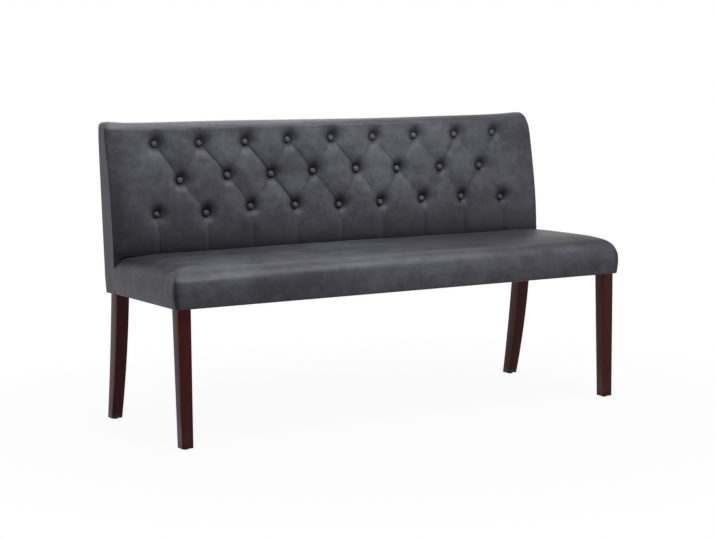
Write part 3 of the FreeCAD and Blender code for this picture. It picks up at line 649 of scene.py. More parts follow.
def all_pleats(rows):
    """Every pleat: where it starts and ends, its shape and how dark a line it draws."""
    for level, (upper, lower) in enumerate(zip(rows, rows[1:])):
        rights = iter(PLEATS_RIGHT[level])
        lefts = iter(PLEATS_LEFT[level])
        for start in upper:
            for end in lower:
                if abs(start[0] - end[0]) < PLEAT_LONGEST:
                    falls_right = end[0] > start[0]
                    strength = next(rights if falls_right else lefts)
                    shape = {
                        "fold": strength * (LAP_RIGHT if falls_right else LAP_LEFT),
                        "middle": PLEAT_VALLEY * (PLEAT_VALLEY_LEAST + (1 - PLEAT_VALLEY_LEAST) * strength),
                        "sharp": strength * (CREASE_RIGHT if falls_right else CREASE_LEFT),
                        "tips": PLEAT_TIPS,
                    }
                    yield start, end, shape, strength * PLEAT_LINE
    for start in rows[0]:
        yield start, (start[0], PAD_TOP + TOP_PLEAT_RISE), TOP_PLEAT, TOP_PLEAT_LINE
    for start in rows[-1]:
        sharp = LOW_CREASE_FIRST if start is rows[-1][0] else LOW_CREASE
        yield start, (start[0], PAD_BOTTOM), dict(LOW_PLEAT, sharp=sharp), LOW_PLEAT_LINE * sharp


def low_shade(x, z):
    """Shade where the back meets the seat, at the rolled ends and low on the left."""
    height = z - PAD_BOTTOM
    tucked = 1 - smooth_step(height, *TUCK_HEIGHTS)
    tucked = tucked + SLIT_SHADE * np.exp(-np.abs(height - SLIT_HEIGHT) / SLIT_SPREAD)
    low = 1 - smooth_step(height, ROLL_LOW_HEIGHT, PAD_TOP - PAD_BOTTOM)
    rolled = np.where(x < 0, ROLL_SHADE_LEFT + ROLL_SHADE_LOW * low, ROLL_SHADE_RIGHT)
    rolled = rolled * hump(HALF_WIDTH - np.abs(x) - ROLL_INSET, ROLL_SPREAD)
    left = LEFT_SHADE * (1 - smooth_step(x, *LEFT_SHADE_X)) * (1 - smooth_step(height, *LEFT_SHADE_HEIGHTS))
    return np.maximum(np.maximum(tucked, rolled), left)


def button_shade(x, z, place):
    """Shade in the well round one button, and on the cover just under it."""
    across, above = x - place[0], z - place[1]
    over, higher = across - WELL_SHIFT[0], above - WELL_SHIFT[1]
    well = np.hypot((WELL_TURN[0] * over + WELL_TURN[1] * higher) / WELL_REACH[0],
                    (WELL_TURN[1] * over - WELL_TURN[0] * higher) / WELL_REACH[1])
    moat = np.maximum(np.hypot(across, above) - BUTTON_RADIUS, 0) / MOAT_WIDTH
    under = hump(np.hypot(across, above + UNDER_DROP), UNDER_SPREAD)
    return np.maximum(UNDER_SHADE * under, WELL_SHADE * hump(np.minimum(well, moat), 1))


def tuft_depth(x, z):
    """How far the tufting draws the cover in at each front point, and its shade there."""
    rows = button_rows()
    total = np.zeros_like(x)
    laps = np.zeros_like(x)
    lines = np.zeros_like(x)
    for start, end, shape, mark in all_pleats(rows):
        depth, lap, line = pleat_depth(x, z, start, end, **shape)
        total += depth ** VALLEY_BLEND
        laps += lap
        lines = np.maximum(lines, mark * line)
    places = sum(rows, [])
    for place in places:
        reach = np.hypot(x - place[0], z - place[1])
        total += (DIMPLE_DEPTH * np.exp(-(reach / DIMPLE_SPREAD) ** SOFT_FALL)) ** VALLEY_BLEND
    depth = total ** (1 / VALLEY_BLEND)
    # Painted shade: darker in the pleats' valleys and crease lines, low on the back, at its rolled ends and
    # round the buttons.
    painted_shade = np.maximum(np.clip((depth - FOLD_START) / FOLD_RANGE, 0, 1), lines)
    painted_shade = np.maximum(painted_shade, low_shade(x, z))
    for place in places:
        painted_shade = np.maximum(painted_shade, button_shade(x, z, place))
    return depth - laps, painted_shade


def back_section():
    """The back's closed side outline from the pad's underside over the top to the rear and round.

    Also how many points its seven stretches have."""
    lip = [(BORDER_FRONT + (PAD_FRONT - BORDER_FRONT) * part, PAD_BOTTOM)
           for part in np.linspace(0, LIP_SHARE, LIP_POINTS)]
    front = [(pad_surface(z), z) for z in np.linspace(PAD_BOTTOM + LIP_RISE, PAD_TOP, FRONT_POINTS)]
    high = np.array([pad_surface(PAD_TOP), PAD_TOP])
    inward = (ARC_CENTRE - high) / ARC_RADIUS
    radius = (back_high.z - PAD_TOP) / (1 + inward[1])
    centre = high + inward * radius
    start = math.atan2(high[1] - centre[1], high[0] - centre[0])
    round_top = [(centre[0] + radius * math.cos(angle), centre[1] + radius * math.sin(angle))
                 for angle in np.linspace(start, math.pi / 2, ROUND_POINTS)[1:]]
    rear_edge = back_rear(back_high.z) - TOP_EDGE_INSET
    top = [(y, back_high.z) for y in np.linspace(centre[0], rear_edge, TOP_POINTS)[1:]]
    rear = [(back_rear(z), z) for z in np.linspace(back_high.z - REAR_EDGE_DROP, seat_low.z, REAR_POINTS)]
    bottom = [(y, seat_low.z) for y in np.linspace(back_rear(seat_low.z), BORDER_FRONT, BOTTOM_POINTS)[1:]]
    border = [(BORDER_FRONT, z) for z in np.linspace(seat_low.z, PAD_BOTTOM, BORDER_POINTS)[1:-1]]
    stretches = [lip, front, round_top, top, rear, bottom, border]
    return np.array(sum(stretches, [])), [len(stretch) for stretch in stretches]


def facing_front(counts):
    """1 for the outline's points on the pad's front, fading to 0 over its rounded top."""
    facing = counts[0] + counts[1]
    front = np.zeros(sum(counts))
    front[:facing] = 1
    front[facing:facing + counts[2]] = np.linspace(1, 0, counts[2])
    return front[:, None]


def cover_columns():
    """Places along the bench, closer together where the ends roll away."""
    inner = HALF_WIDTH - END_ROLL
    middle = np.linspace(-inner, inner, LENGTH_POINTS)
    angles = np.linspace(0, math.pi / 2, ROLL_POINTS)[1:]
    end = inner + END_ROLL * np.sin(angles)
    return np.concatenate([-end[::-1], middle, end])


def settled_top(x, z):
    """Heights near the back's top once its corners are rounded, with a slight sag and a higher left end."""
    corner = 1 - (HALF_WIDTH - np.abs(x)) / CORNER_ROUND
    slack = TOP_SAG + TOP_SAG_RIGHT * smooth_step(x, *TOP_SAG_RIGHT_X)
    sag = slack * (1 - np.abs(x / HALF_WIDTH) ** TOP_SAG_POWER)
    lift = (TOP_LIFT_LEFT * smooth_step(-x, *TOP_LIFT_LEFT_X)
            + TOP_LIFT_CORNER * smooth_step(-x, *TOP_LIFT_CORNER_X))
    return z - (CORNER_DROP * quarter_drop(corner) + sag - lift) * near_top(z, (TOP_BAND, 0))


def end_round_of_seat(x):
    """How far in the seat's end starts to roll, which differs from left to right."""
    return np.where(x > 0, SEAT_RIGHT_ROUND, SEAT_END_ROUND)


def end_swell(z):
    """How far the padding pushes the back's ends out at a height."""
    level = np.clip((z - seat_high.z) / (back_high.z - seat_high.z), 0, 1)
    low = END_SWELL_LOW + (1 - END_SWELL_LOW) * smooth_step(z, seat_low.z, seat_low.z + END_SWELL_BAND)
    return END_SWELL * (1 - level ** END_SWELL_POWER) * low


def top_shade(x, z):
    """Shade just under the back's top edge, stronger on the right and clear of the edge on the left."""
    shaded = TOP_SHADE + TOP_SHADE_RIGHT * smooth_step(x, *TOP_SHADE_RIGHT_X)
    clear = smooth_step(-x, *TOP_CLEAR_X) * near_top(z, TOP_CLEAR_DROPS)
    return shaded * near_top(z, TOP_SHADE_DROPS) * (1 - clear)


def back_cover(material):
    """The tufted back cover, with its rolled ends and rounded top, and the strips at its ends."""
    section, counts = back_section()
    columns = cover_columns()
    x, y = np.meshgrid(columns, section[:, 0])
    z = np.meshgrid(columns, section[:, 1])[1]
    front = facing_front(counts)
    share = 1 - (HALF_WIDTH - np.abs(x)) / END_ROLL
    y = y + END_SETBACK * quarter_drop(share, END_FULLNESS) * front
    swell = end_swell(z) * (REAR_SWELL + (1 - REAR_SWELL) * front)
    x = x + np.sign(x) * swell * smooth_step(np.abs(x), HALF_WIDTH - 2 * END_ROLL, HALF_WIDTH)
    z = settled_top(x, z)
    end_round = end_round_of_seat(x)
    past = (np.abs(x) - (HALF_WIDTH - end_round)) / end_round
    low = (1 - smooth_step(z, PAD_BOTTOM, PAD_BOTTOM + PAD_END_BAND)) * (front > FULLY_FRONT)
    z = z - PAD_END_DROP * quarter_drop(past) * low
    drawn, painted_shade = tuft_depth(x, z)
    points = np.stack([x, y, z], axis=-1).reshape(-1, 3)
    slow = bumpy(points, SLOW_SCALE, 1).reshape(x.shape)
    quick = bumpy(points, QUICK_SCALE, 2).reshape(x.shape)
    wander = (SLOW_WAVE * slow + QUICK_WAVE * quick) * front
    seam = TOP_SEAM_SINK * hump(z - back_high.z + TOP_SEAM_DROP, TOP_SEAM_WIDTH) * (front > PARTLY_FRONT)
    push = drawn * front + wander + seam
    y = y + push
    z = z - push * PAD_SLOPE
    points = np.stack([x, y, z], axis=-1)
    faces = grid_faces(len(section), len(columns), close_rows=True, flip=True)
    piece = make_piece("back_cover_tufted", points.reshape(-1, 3), faces, material)
    # Painted shade: the tufting's shade on the front, and a band under the top edge.
    keep_amounts(piece, "fold", np.maximum(painted_shade * front, top_shade(x, z)).reshape(-1))
    # Painted highlight: lighter along the top edge, mostly on the left.
    rubbed = TOP_HIGHLIGHT * (1 - smooth_step(x, *TOP_HIGHLIGHT_X)) * near_top(z, TOP_HIGHLIGHT_DROPS)
    keep_amounts(piece, "rubbed", rubbed.reshape(-1))
    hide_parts("back_cover", "back_foam", "back_wadding")
    back_end("back_end_left", -1, points[:, 0], counts, material)
    back_end("back_end_right", 1, points[:, -1], counts, material)


def end_grid(front_edge, rear_edge, side, calm):
    """Points over an end of the back between two rising edges, and its quads."""
    share = np.linspace(0, 1, END_POINTS)
    heights = front_edge[:, 2]
    rear = np.stack([np.interp(heights, rear_edge[:, 2], rear_edge[:, axis]) for axis in range(3)], axis=-1)
    points = front_edge[:, None, :] + (rear - front_edge)[:, None, :] * share[None, :, None]
    waves = bumpy(points.reshape(-1, 3), END_WAVE_SCALE, 3).reshape(len(heights), len(share))
    inside = 1 - (2 * share - 1) ** 4
    away = smooth_step(np.abs(heights - calm), 0, END_CALM)
    points[:, :, 0] += side * END_WAVE * waves * inside[None, :] * away[:, None]
    return points.reshape(-1, 3), grid_faces(len(heights), len(share), flip=side < 0)


def back_end(name, side, edge, counts, material):
    """The plain strip sewn over one end of the back, from the cover's edge round that end."""
    ends = np.cumsum(counts)
    pad_edge = edge[counts[0] - 1:ends[2]]
    rear_edge = edge[ends[3] - 1:ends[4]][::-1]
    under_pad = pad_edge[0, 2]
    levels = np.linspace(seat_low.z, under_pad, END_POINTS)
    widths = [np.abs(edge[ends[5] - 1, 0]), np.abs(pad_edge[0, 0])]
    outer = np.interp(levels, [seat_low.z, under_pad], widths)
    border_edge = np.stack([side * outer, np.full_like(levels, BORDER_FRONT), levels], axis=-1)
    low_points, low_faces = end_grid(border_edge, rear_edge, side, under_pad)
    high_points, high_faces = end_grid(pad_edge, rear_edge, side, under_pad)
    high_faces = [[corner + len(low_points) for corner in face] for face in high_faces]
    points = np.concatenate([low_points, high_points])
    strip = make_piece(name, points, low_faces + high_faces, material)
    # Painted shade: the whole strip is darkened evenly.
    keep_amounts(strip, "fold", np.full(len(points), END_STRIP_SHADE))


def box_surface(xs, ys, zs):
    """Points and quads over the six sides of a block divided at the given places."""
    last = (len(xs) - 1, len(ys) - 1, len(zs) - 1)
    index = {}
    points = []
    faces = []

    def point(i, j, k):
        if (i, j, k) not in index:
            index[i, j, k] = len(points)
            points.append((xs[i], ys[j], zs[k]))
        return index[i, j, k]

    # For each axis, the two sides that face along it and which way round their corners run
    for axis, sides in ((2, ((last[2], 1), (0, -1))),
                        (1, ((0, 1), (last[1], -1))),
                        (0, ((0, -1), (last[0], 1)))):
        first, second = (other for other in range(3) if other != axis)
        for a in range(last[first]):
            for b in range(last[second]):
                for place, way in sides:
                    corners = [(a, b), (a + 1, b), (a + 1, b + 1), (a, b + 1)][::way]
                    faces.append([point(*corner[:axis], place, *corner[axis:]) for corner in corners])
    return np.array(points), faces


def seat_block(half_depth):
    """The seat as a block with crisp upright corners and rounded top edges: its points and quads."""
    points, faces = box_surface(np.linspace(-HALF_WIDTH, HALF_WIDTH, SEAT_POINTS[0]),
                                np.linspace(-half_depth, half_depth, SEAT_POINTS[1]),
                                np.linspace(seat_low.z, SEAT_EDGE, SEAT_POINTS[2]))
    x, y, z = points.T
    end_round = end_round_of_seat(x)
    edge = np.where(y < 0, SEAT_FRONT_ROUND, SEAT_REAR_ROUND)
    reach_x = np.clip((np.abs(x) - (HALF_WIDTH - end_round)) / end_round, 0, 1)
    reach_y = np.clip((np.abs(y) - (half_depth - edge)) / edge, 0, 1)
    reach_z = np.clip((z - (SEAT_EDGE - SEAT_DROP)) / SEAT_DROP, 0, 1)
    plan = (reach_x ** SEAT_CORNER_POWER + reach_y ** SEAT_CORNER_POWER) ** (1 / SEAT_CORNER_POWER)
    size = np.maximum(np.hypot(plan, reach_z), TINY)
    outside = np.maximum(np.maximum(reach_x, reach_y), reach_z)
    scale = np.where(outside > TINY, outside / size, 1.0)
    bottom = z < seat_low.z + TINY
    scale = np.where(bottom & (outside < AT_RIM), 1.0, scale)
    x = np.sign(x) * np.where(reach_x > 0, HALF_WIDTH - end_round + reach_x * scale * end_round, np.abs(x))
    y = np.sign(y) * np.where(reach_y > 0, half_depth - edge + reach_y * scale * edge, np.abs(y))
    z = np.where(reach_z > 0, SEAT_EDGE - SEAT_DROP + reach_z * scale * SEAT_DROP, z)
    return x, y, z, faces


def seat_cover(material):
    """The padded seat: a low crown, waves in its cover, and a swelling front and ends."""
    middle = (seat_low + seat_high) / 2
    half_depth = seat_high.y - middle.y
    x, y, z, faces = seat_block(half_depth)
    top = smooth_step(z, SEAT_EDGE - SEAT_TOP_BAND, SEAT_EDGE)
    flatness = 2 + CROWN_FLATTER * smooth_step(x, *CROWN_FLATTER_X)
    rise = np.where(y < 0, 1 - np.abs(y / half_depth) ** flatness, 1 - CROWN_REAR * (y / half_depth) ** 4)
    power = np.where(x > 0, CROWN_POWER_RIGHT, CROWN_POWER_LEFT)
    crown = SEAT_CROWN * (1 - np.abs(x / HALF_WIDTH) ** power) * rise
    upright = (z - seat_low.z) / (SEAT_EDGE - seat_low.z)
    swell = SEAT_END_BULGE * np.sin(np.pi * np.clip(upright, 0, 1))
    x = x + np.sign(x) * swell * smooth_step(np.abs(x), HALF_WIDTH - SEAT_END_BAND, HALF_WIDTH)
    points = np.stack([x, y, z], axis=-1)
    long_waves = bumpy(points * np.array(LONG_STRETCH), LONG_SCALE, 4)
    short_waves = bumpy(points * np.array(SHORT_STRETCH), SHORT_SCALE, 5)
    soft = bumpy(points, SEAT_FRONT_WAVE_SCALE, 6)
    calm = 1 - SEAT_CALM * smooth_step(x, *SEAT_CALM_X)
    z = z + top * (crown + calm * (LONG_WAVE * long_waves + SHORT_WAVE * short_waves))
    front = smooth_step(-y, half_depth - SEAT_FRONT_BAND, half_depth)
    level = np.clip(SEAT_BULGE_START + (1 - SEAT_BULGE_START) * upright, 0, 1)
    bulge = SEAT_FRONT_BULGE * np.sin(np.pi * level)
    y = y - front * (SEAT_FRONT_WAVE * soft + bulge) + middle.y
    piece = make_piece("seat_cover_padded", np.stack([x, y, z], axis=-1), faces, material)
    grip = np.maximum(1 - smooth_step(z, seat_low.z + GRIP_RISE, SEAT_EDGE - SEAT_TOP_BAND),
                      smooth_step(y, seat_high.y - GRIP_REAR[0], seat_high.y - GRIP_REAR[1]))
    swell_cover(piece, grip, slack=0.006, pressure=3.0, limit=0.006, steps=16)
    subdivided(piece)
    shade_seat(piece)
    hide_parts("seat_cover", "seat_foam", "seat_wadding")
    return piece


def shade_seat(piece):
    """Painted shade at the front corners, on the right and towards the back, and a painted highlight along
    the front edge.
    """
    x, y, z = point_array(piece.data).T
    inward = y - seat_low.y
    on_front = 1 - smooth_step(inward, *FRONT_FACE_DEPTHS)
    below_round = 1 - smooth_step(z, SEAT_EDGE - SEAT_DROP, SEAT_EDGE)
    on_top = smooth_step(z, SEAT_EDGE - SEAT_TOP_BAND, SEAT_EDGE)
    corners = CORNER_SHADE * np.exp(-np.abs(HALF_WIDTH - np.abs(x)) / CORNER_SPREAD) * on_front * below_round
    right = RIGHT_PAINTED_SHADE * smooth_step(x, *RIGHT_PAINTED_SHADE_X) * on_top
    rear = REAR_PAINTED_SHADE * (1 - smooth_step(x, *REAR_PAINTED_SHADE_X)) * smooth_step(inward, *REAR_PAINTED_SHADE_DEPTHS) * on_top
    # Painted shade: darker at the front corners, on the right of the top and towards the back.
    keep_amounts(piece, "fold", np.maximum(corners, np.maximum(right, rear)))
    # Painted highlight: a lighter band along the front edge of the top, fading to the right.
    edge_highlight = FRONT_HIGHLIGHT * hump(inward - FRONT_HIGHLIGHT_DEPTH, FRONT_HIGHLIGHT_SPREAD)
    less = 1 - FRONT_HIGHLIGHT_LESS * smooth_step(x, *FRONT_HIGHLIGHT_LESS_X)
    keep_amounts(piece, "rubbed", edge_highlight * less * on_top)


def point_array(mesh):
    flat = np.empty(len(mesh.vertices) * 3)
    mesh.vertices.foreach_get("co", flat)
    return flat.reshape(-1, 3)


def evened(piece, moves, passes, own=0.4):
    """Average each point's move with its neighbours', to lose ripples as narrow as the mesh."""
    ends = np.empty(len(piece.data.edges) * 2, dtype=np.int64)
    piece.data.edges.foreach_get("vertices", ends)
    first, second = ends[0::2], ends[1::2]
    count = np.bincount(ends, minlength=len(moves)).reshape(-1, 1)
    for _ in range(passes):
        total = np.zeros_like(moves)
        np.add.at(total, first, moves[second])
        np.add.at(total, second, moves[first])
        moves = own * moves + (1 - own) * total / np.maximum(count, 1)
    return moves


def swell_cover(piece, grip, slack, pressure, limit, steps):
    """Let a cover swell over its padding by cloth simulation, and keep the shape it takes."""
    start = point_array(piece.data)
    group = piece.vertex_groups.new(name="grip")
    for level in range(1, GRIP_LEVELS + 1):
        members = np.flatnonzero(np.round(grip * GRIP_LEVELS) == level)
        if len(members):
            group.add(members.tolist(), level / GRIP_LEVELS, "REPLACE")
    cloth = piece.modifiers.new("swell", "CLOTH")
    for name, value in COVER_CLOTH.items():
        setattr(cloth.settings, name, value)
    cloth.settings.vertex_group_mass = group.name
    cloth.settings.uniform_pressure_force = pressure
    cloth.settings.shrink_min = -slack
    cloth.settings.effector_weights.gravity = 0
    cloth.collision_settings.use_collision = False
    cloth.point_cache.frame_start = 1
    cloth.point_cache.frame_end = steps
    for step in range(1, steps + 1):
        bpy.context.scene.frame_set(step)
    evaluated = piece.evaluated_get(bpy.context.evaluated_depsgraph_get())
    moves = point_array(evaluated.to_mesh()) - start
    evaluated.to_mesh_clear()
    piece.modifiers.remove(cloth)
    piece.vertex_groups.remove(group)
    length = np.maximum(np.linalg.norm(moves, axis=1, keepdims=True), 1e-9)
    moves = evened(piece, moves * np.tanh(length / limit) * limit / length, passes=10)
    piece.data.vertices.foreach_set("co", (start + moves).reshape(-1))
    piece.data.update()
    bpy.context.scene.frame_set(1)


def subdivided(piece):
    """One smoothing subdivision, kept in the mesh."""
    smooth = piece.modifiers.new("smooth", "SUBSURF")
    smooth.levels = 1
    evaluated = piece.evaluated_get(bpy.context.evaluated_depsgraph_get())
    finer = bpy.data.meshes.new_from_object(evaluated)
    piece.modifiers.remove(smooth)
    piece.data = finer


def corner_seam(name, side, seat, material):
    """The ridge of the sewn upright corner at one end of the seat's front."""
    places = point_array(seat.data)
    outward = side * places[:, 0] - places[:, 1]
    points = []
    for z in np.linspace(seat_low.z + SEAM_FOOT, SEAT_EDGE - SEAT_DROP, SEAM_LEVELS):
        near = np.flatnonzero(np.abs(places[:, 2] - z) < SEAM_SEARCH)
        corner = places[near[np.argmax(outward[near])]]
        for step in range(SEAM_AROUND):
            turn = 2 * math.pi * step / SEAM_AROUND
            points.append((corner[0] - side * SEAM_SINK + SEAM_RADIUS * math.cos(turn),
                           corner[1] + SEAM_SINK + SEAM_RADIUS * math.sin(turn), z))
    faces = ring_faces(SEAM_LEVELS, SEAM_AROUND) + ring_caps(SEAM_LEVELS, SEAM_AROUND)
    seam = make_piece(name, points, faces, material)
    # Painted shade along the seam.
    keep_amounts(seam, "fold", np.full(len(points), SEAM_SHADE))


def covered_button(name, x, z, material):
    """One domed button, its cover gathered at the rim."""
    lean = math.atan(PAD_SLOPE)
    outward = np.array([0, -math.cos(lean), math.sin(lean)])
    upward = np.array([0, math.sin(lean), math.cos(lean)])
    sideways = np.array([1.0, 0, 0])
    seat = np.array([x, pad_surface(z), z]) - outward * DIMPLE_DEPTH
    points = []
    rim = []
    for ring in range(BUTTON_RINGS):
        angle = math.pi / 2 * ring / BUTTON_RINGS
        at_rim = math.cos(angle) ** 2
        for step in range(BUTTON_AROUND):
            turn = 2 * math.pi * step / BUTTON_AROUND
            gather = 1 + GATHER_DEPTH * math.cos(turn * GATHERS) * at_rim
            radius = BUTTON_RADIUS * math.cos(angle) * gather
            points.append(seat + sideways * (radius * math.cos(turn)) + upward * (radius * math.sin(turn))
                          + outward * (BUTTON_RISE * math.sin(angle)))
            rim.append(at_rim)
    crest, underside = len(points), len(points) + 1
    points += [seat + outward * BUTTON_RISE, seat - outward * BUTTON_SHANK]
    rim += [0.0, 1.0]
    faces = ring_faces(BUTTON_RINGS, BUTTON_AROUND)
    highest = (BUTTON_RINGS - 1) * BUTTON_AROUND
    for step in range(BUTTON_AROUND):
        after = (step + 1) % BUTTON_AROUND
        faces.append([highest + step, highest + after, crest])
        faces.append([after, step, underside])
    button = make_piece(name, points, faces, material)
    # Painted shade: a dark ring at the button's rim, fading to none at its crest; the underside is dark.
    keep_amounts(button, "fold", rim)
    return button


def all_buttons(material):
    """Every button, with the solid of them all hidden."""
    for row, places in enumerate(button_rows()):
        for column, (x, z) in enumerate(places):
            covered_button("button_%d_%d" % (row + 1, column + 1), x, z, material)
    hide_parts("tuft_buttons")


def leg_ring(x0, x1, y0, y1, z):
    """A rectangle with rounded corners at one height of a leg."""
    ring = []
    corners = [(x1, y1, 0), (x0, y1, 1), (x0, y0, 2), (x1, y0, 3)]
    for x, y, quarter in corners:
        centre_x = x - LEG_EDGE * (1 if x == x1 else -1)
        centre_y = y - LEG_EDGE * (1 if y == y1 else -1)
        for part in range(LEG_EDGE_STEPS + 1):
            angle = math.pi / 2 * (quarter + part / LEG_EDGE_STEPS)
            ring.append((centre_x + LEG_EDGE * math.cos(angle), centre_y + LEG_EDGE * math.sin(angle), z))
    return ring


def leg_piece(name, rings, material, node):
    """A leg through its rings, with flat ends, in place of its solid."""
    around = len(rings[0])
    faces = ring_faces(len(rings), around) + ring_caps(len(rings), around)
    piece = make_piece(name, sum(rings, []), faces, material)
    piece.data.polygons[-1].use_smooth = False
    piece.data.polygons[-2].use_smooth = False
    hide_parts(node)


def tapered(middle_x, part):
    """Half width and middle of a leg at a share of its height."""
    half = (FOOT_SIZE + (LEG_SIZE - FOOT_SIZE) * part) / 2
    return half, middle_x - math.copysign(FOOT_DRIFT * (1 - part), middle_x)


def front_leg(node, material):
    """A square front leg that tapers to its foot."""
    low, high = (Vector(corner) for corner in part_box(node))
    middle = (low + high) / 2
    rings = []
    for z in (FOOT_HEIGHT, *FRONT_LEG_LEVELS, seat_low.z, high.z):
        part = min(1, (z - FOOT_HEIGHT) / (seat_low.z - FOOT_HEIGHT))
        half, x = tapered(middle.x, part)
        rings.append(leg_ring(x - half, x + half, middle.y - half, middle.y + half, z))
    leg_piece(node + "_tapered", rings, material, node)


def bowed(start, end, bow, part):
    """A shallow arc between two depths, bowed towards the front."""
    return start + (end - start) * part - bow * 4 * part * (1 - part)


def rear_leg(node, material):
    """A rear leg, curved back to its foot, and the raked post above it."""
    low, high = (Vector(corner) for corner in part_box(node))
    middle_x = (low.x + high.x) / 2
    post_front = seat_high.y + POST_SETBACK
    post_rear = post_front + POST_DEPTH
    rings = []
    for part in np.linspace(0, 1, REAR_LEG_LEVELS):
        z = FOOT_HEIGHT + (seat_low.z - FOOT_HEIGHT) * part
        half, x = tapered(middle_x, part)
        front = bowed(high.y - FOOT_SIZE, post_front, LEG_FRONT_BOW, part)
        rear = bowed(high.y, post_rear, LEG_REAR_BOW, part)
        rings.append(leg_ring(x - half, x + half, front, rear, z))
    left, right = middle_x - LEG_SIZE / 2, middle_x + LEG_SIZE / 2
    rings.append(leg_ring(left, right, post_front, post_rear, POST_BEND))
    top_front = post_front + (high.z - POST_BEND) * POST_FRONT_RAKE
    top_rear = post_rear + (high.z - seat_low.z) * REAR_RAKE
    rings.append(leg_ring(left, right, top_front, top_rear, high.z))
    leg_piece(node + "_curved", rings, material, node)


def dress_nodes(finishes):
    """Give every CAD node that stays its own finish."""
    for part in frame["record"]["subparts"]:
        piece = frame["nodes"][part["node"]]
        material = finishes[part["material_slot"]]
        if piece.material_slots:
            for place in piece.material_slots:
                place.material = material
        else:
            piece.data.materials.append(material)


def pale_floor():
    """A pale floor that shows white and keeps the bench's shadow."""
    finish = Finish("pale_floor")
    speck = finish.cloud(3.0, detail=2.0)
    pale = finish.blend(speck, tint(0.74, 0.74, 0.74), tint(0.77, 0.77, 0.77))
    matt = finish.node("ShaderNodeBsdfDiffuse", {}, {"Color": pale})
    white = finish.node("ShaderNodeEmission", {}, {"Color": WHITE, "Strength": 1.0})
    point = finish.node("ShaderNodeTexCoord", output="Object")
    away = finish.node("ShaderNodeVectorMath", {"operation": "LENGTH"}, {0: point}, output=1)
    clear = finish.ramp(away * 0.25, [(0.15, 0.94), (0.42, 1.0)])
    material = finish.ended(finish.node("ShaderNodeMixShader", {}, {
        0: finish.shows_white() * clear, 1: matt, 2: white}))
    mesh = bpy.data.meshes.new("floor")
    corners = [(x * FLOOR_HALF, y * FLOOR_HALF, 0) for x, y in ((-1, -1), (1, -1), (1, 1), (-1, 1))]
    mesh.from_pydata(corners, [], [[0, 1, 2, 3]])
    mesh.materials.append(material)
    floor = placed("floor", mesh)


def white_surround():
    """A surround that shows white and lights the bench a little from all sides."""
    finish = Finish("white_surround", world=True)
    dim = finish.node("ShaderNodeBackground", {}, {"Color": WHITE, "Strength": AMBIENT})
    white = finish.node("ShaderNodeBackground", {}, {"Color": WHITE, "Strength": 1.0})
    bpy.context.scene.world = finish.ended(finish.node("ShaderNodeMixShader", {}, {
        0: finish.shows_white(), 1: dim, 2: white}))


def studio_lamps():
    """Soft lamps: each has its place, what it is turned to, its width, height and power."""
    lamp("front_softbox", (0.15, -0.66, 1.90), (-0.10, 0.10, 0.72), 1.8, 0.4, 29)
    lamp("overhead_strip", (-0.55, -0.10, 2.3), (-0.4, -0.05, 0.5), 1.6, 0.3, 8)
    lamp("rear_softbox", (0.6, 2.6, 1.8), (0.0, 0.2, 0.55), 2.0, 1.2, 30)
    lamp("left_reflector", (-2.6, 1.3, 0.9), (-0.75, 0.0, 0.5), 1.2, 1.2, 7.8, (0.72, 0.72, 1.0))
    lamp("front_fill", (2.4, -2.4, 0.75), (0.45, -0.25, 0.42), 1.0, 1.0, 11.5)


def lamp(name, place, target, width, height, power, color=(1.0, 1.0, 1.0)):
    light = bpy.data.lights.new(name, "AREA")
    light.shape = "RECTANGLE"
    light.size = width
    light.size_y = height
    light.energy = power
    light.color = color
    holder = placed(name, light)
    holder.location = place
    aim = Vector(target) - Vector(place)
    holder.rotation_euler = aim.to_track_quat("-Z", "Y").to_euler()


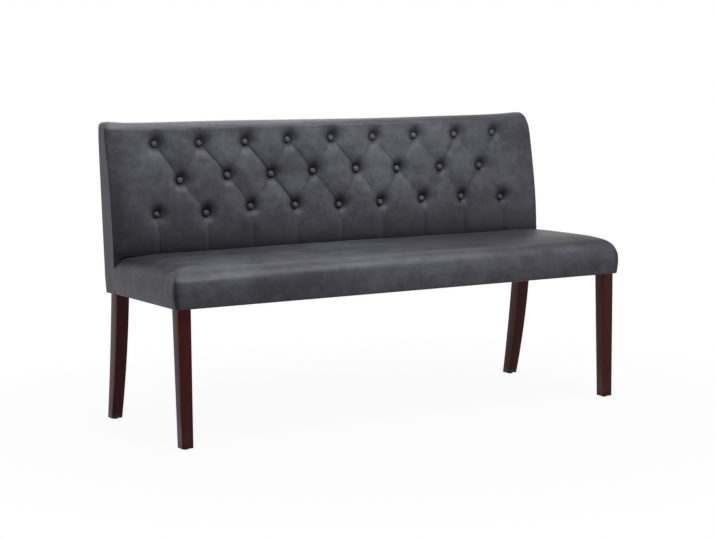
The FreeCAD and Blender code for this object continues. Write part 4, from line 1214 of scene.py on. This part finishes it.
def photo_camera():
    """The photograph's viewpoint, from its fitted place, turn, tilt, roll and focal length."""
    focal_pixels = 1761.7
    centre_row = 272.1
    place = Vector((-2.6250, -4.7052, 1.0187))
    turn = math.radians(28.98)
    tilt = math.radians(6.31)
    roll = math.radians(-0.98)
    forward = Vector((math.sin(turn) * math.cos(tilt), math.cos(turn) * math.cos(tilt), -math.sin(tilt)))
    level = Vector((math.cos(turn), -math.sin(turn), 0))
    above = level.cross(forward)
    right = level * math.cos(roll) + above * math.sin(roll)
    up = above * math.cos(roll) - level * math.sin(roll)
    camera = bpy.data.cameras.new("photo_camera")
    camera.sensor_width = 36.0
    camera.sensor_fit = "HORIZONTAL"
    camera.lens = focal_pixels * camera.sensor_width / PHOTO_WIDTH
    camera.shift_y = (centre_row - PHOTO_HEIGHT / 2) / PHOTO_WIDTH
    holder = placed("photo_camera", camera)
    turned = Matrix((right, up, -forward)).transposed().to_4x4()
    holder.matrix_world = Matrix.Translation(place) @ turned
    bpy.context.scene.camera = holder


def main():
    bpy.context.scene.view_settings.view_transform = "Standard"
    cover = slate_cover()
    wood = stained_wood()
    finishes = {
        "upholstery": cover,
        "stained_wood": wood,
        "frame_wood": bare_wood("frame_wood", tint(0.55, 0.39, 0.23), tint(0.42, 0.28, 0.15), 60.0),
        "board": bare_wood("board", tint(0.48, 0.33, 0.19), tint(0.36, 0.24, 0.13), 90.0),
        "zinc_steel": zinc_steel(),
        "glide_plastic": moulded_plastic("glide_plastic", tint(0.10, 0.08, 0.07), tint(0.16, 0.13, 0.11)),
        "toggle_plastic": moulded_plastic("toggle_plastic", tint(0.66, 0.66, 0.64), tint(0.76, 0.76, 0.74)),
        "foam": open_foam("foam", tint(0.80, 0.76, 0.62), tint(0.62, 0.58, 0.45), 900.0),
        "wadding": open_foam("wadding", tint(0.86, 0.86, 0.84), tint(0.70, 0.70, 0.68), 500.0),
        "strap_cloth": woven_cloth("strap_cloth", tint(0.06, 0.055, 0.05), tint(0.14, 0.13, 0.12), 160.0),
        "dust_cloth": woven_cloth("dust_cloth", tint(0.012, 0.012, 0.012), tint(0.03, 0.03, 0.03), 300.0),
        "twine": woven_cloth("twine", tint(0.55, 0.50, 0.40), tint(0.74, 0.70, 0.60), 500.0),
    }
    dress_nodes(finishes)
    back_cover(cover)
    seat = seat_cover(cover)
    corner_seam("seat_corner_seam_left", -1, seat, cover)
    corner_seam("seat_corner_seam_right", 1, seat, cover)
    all_buttons(cover)
    for side in ("left", "right"):
        front_leg("front_leg_" + side, wood)
        rear_leg("rear_leg_" + side, wood)
    pale_floor()
    white_surround()
    studio_lamps()
    photo_camera()


main()
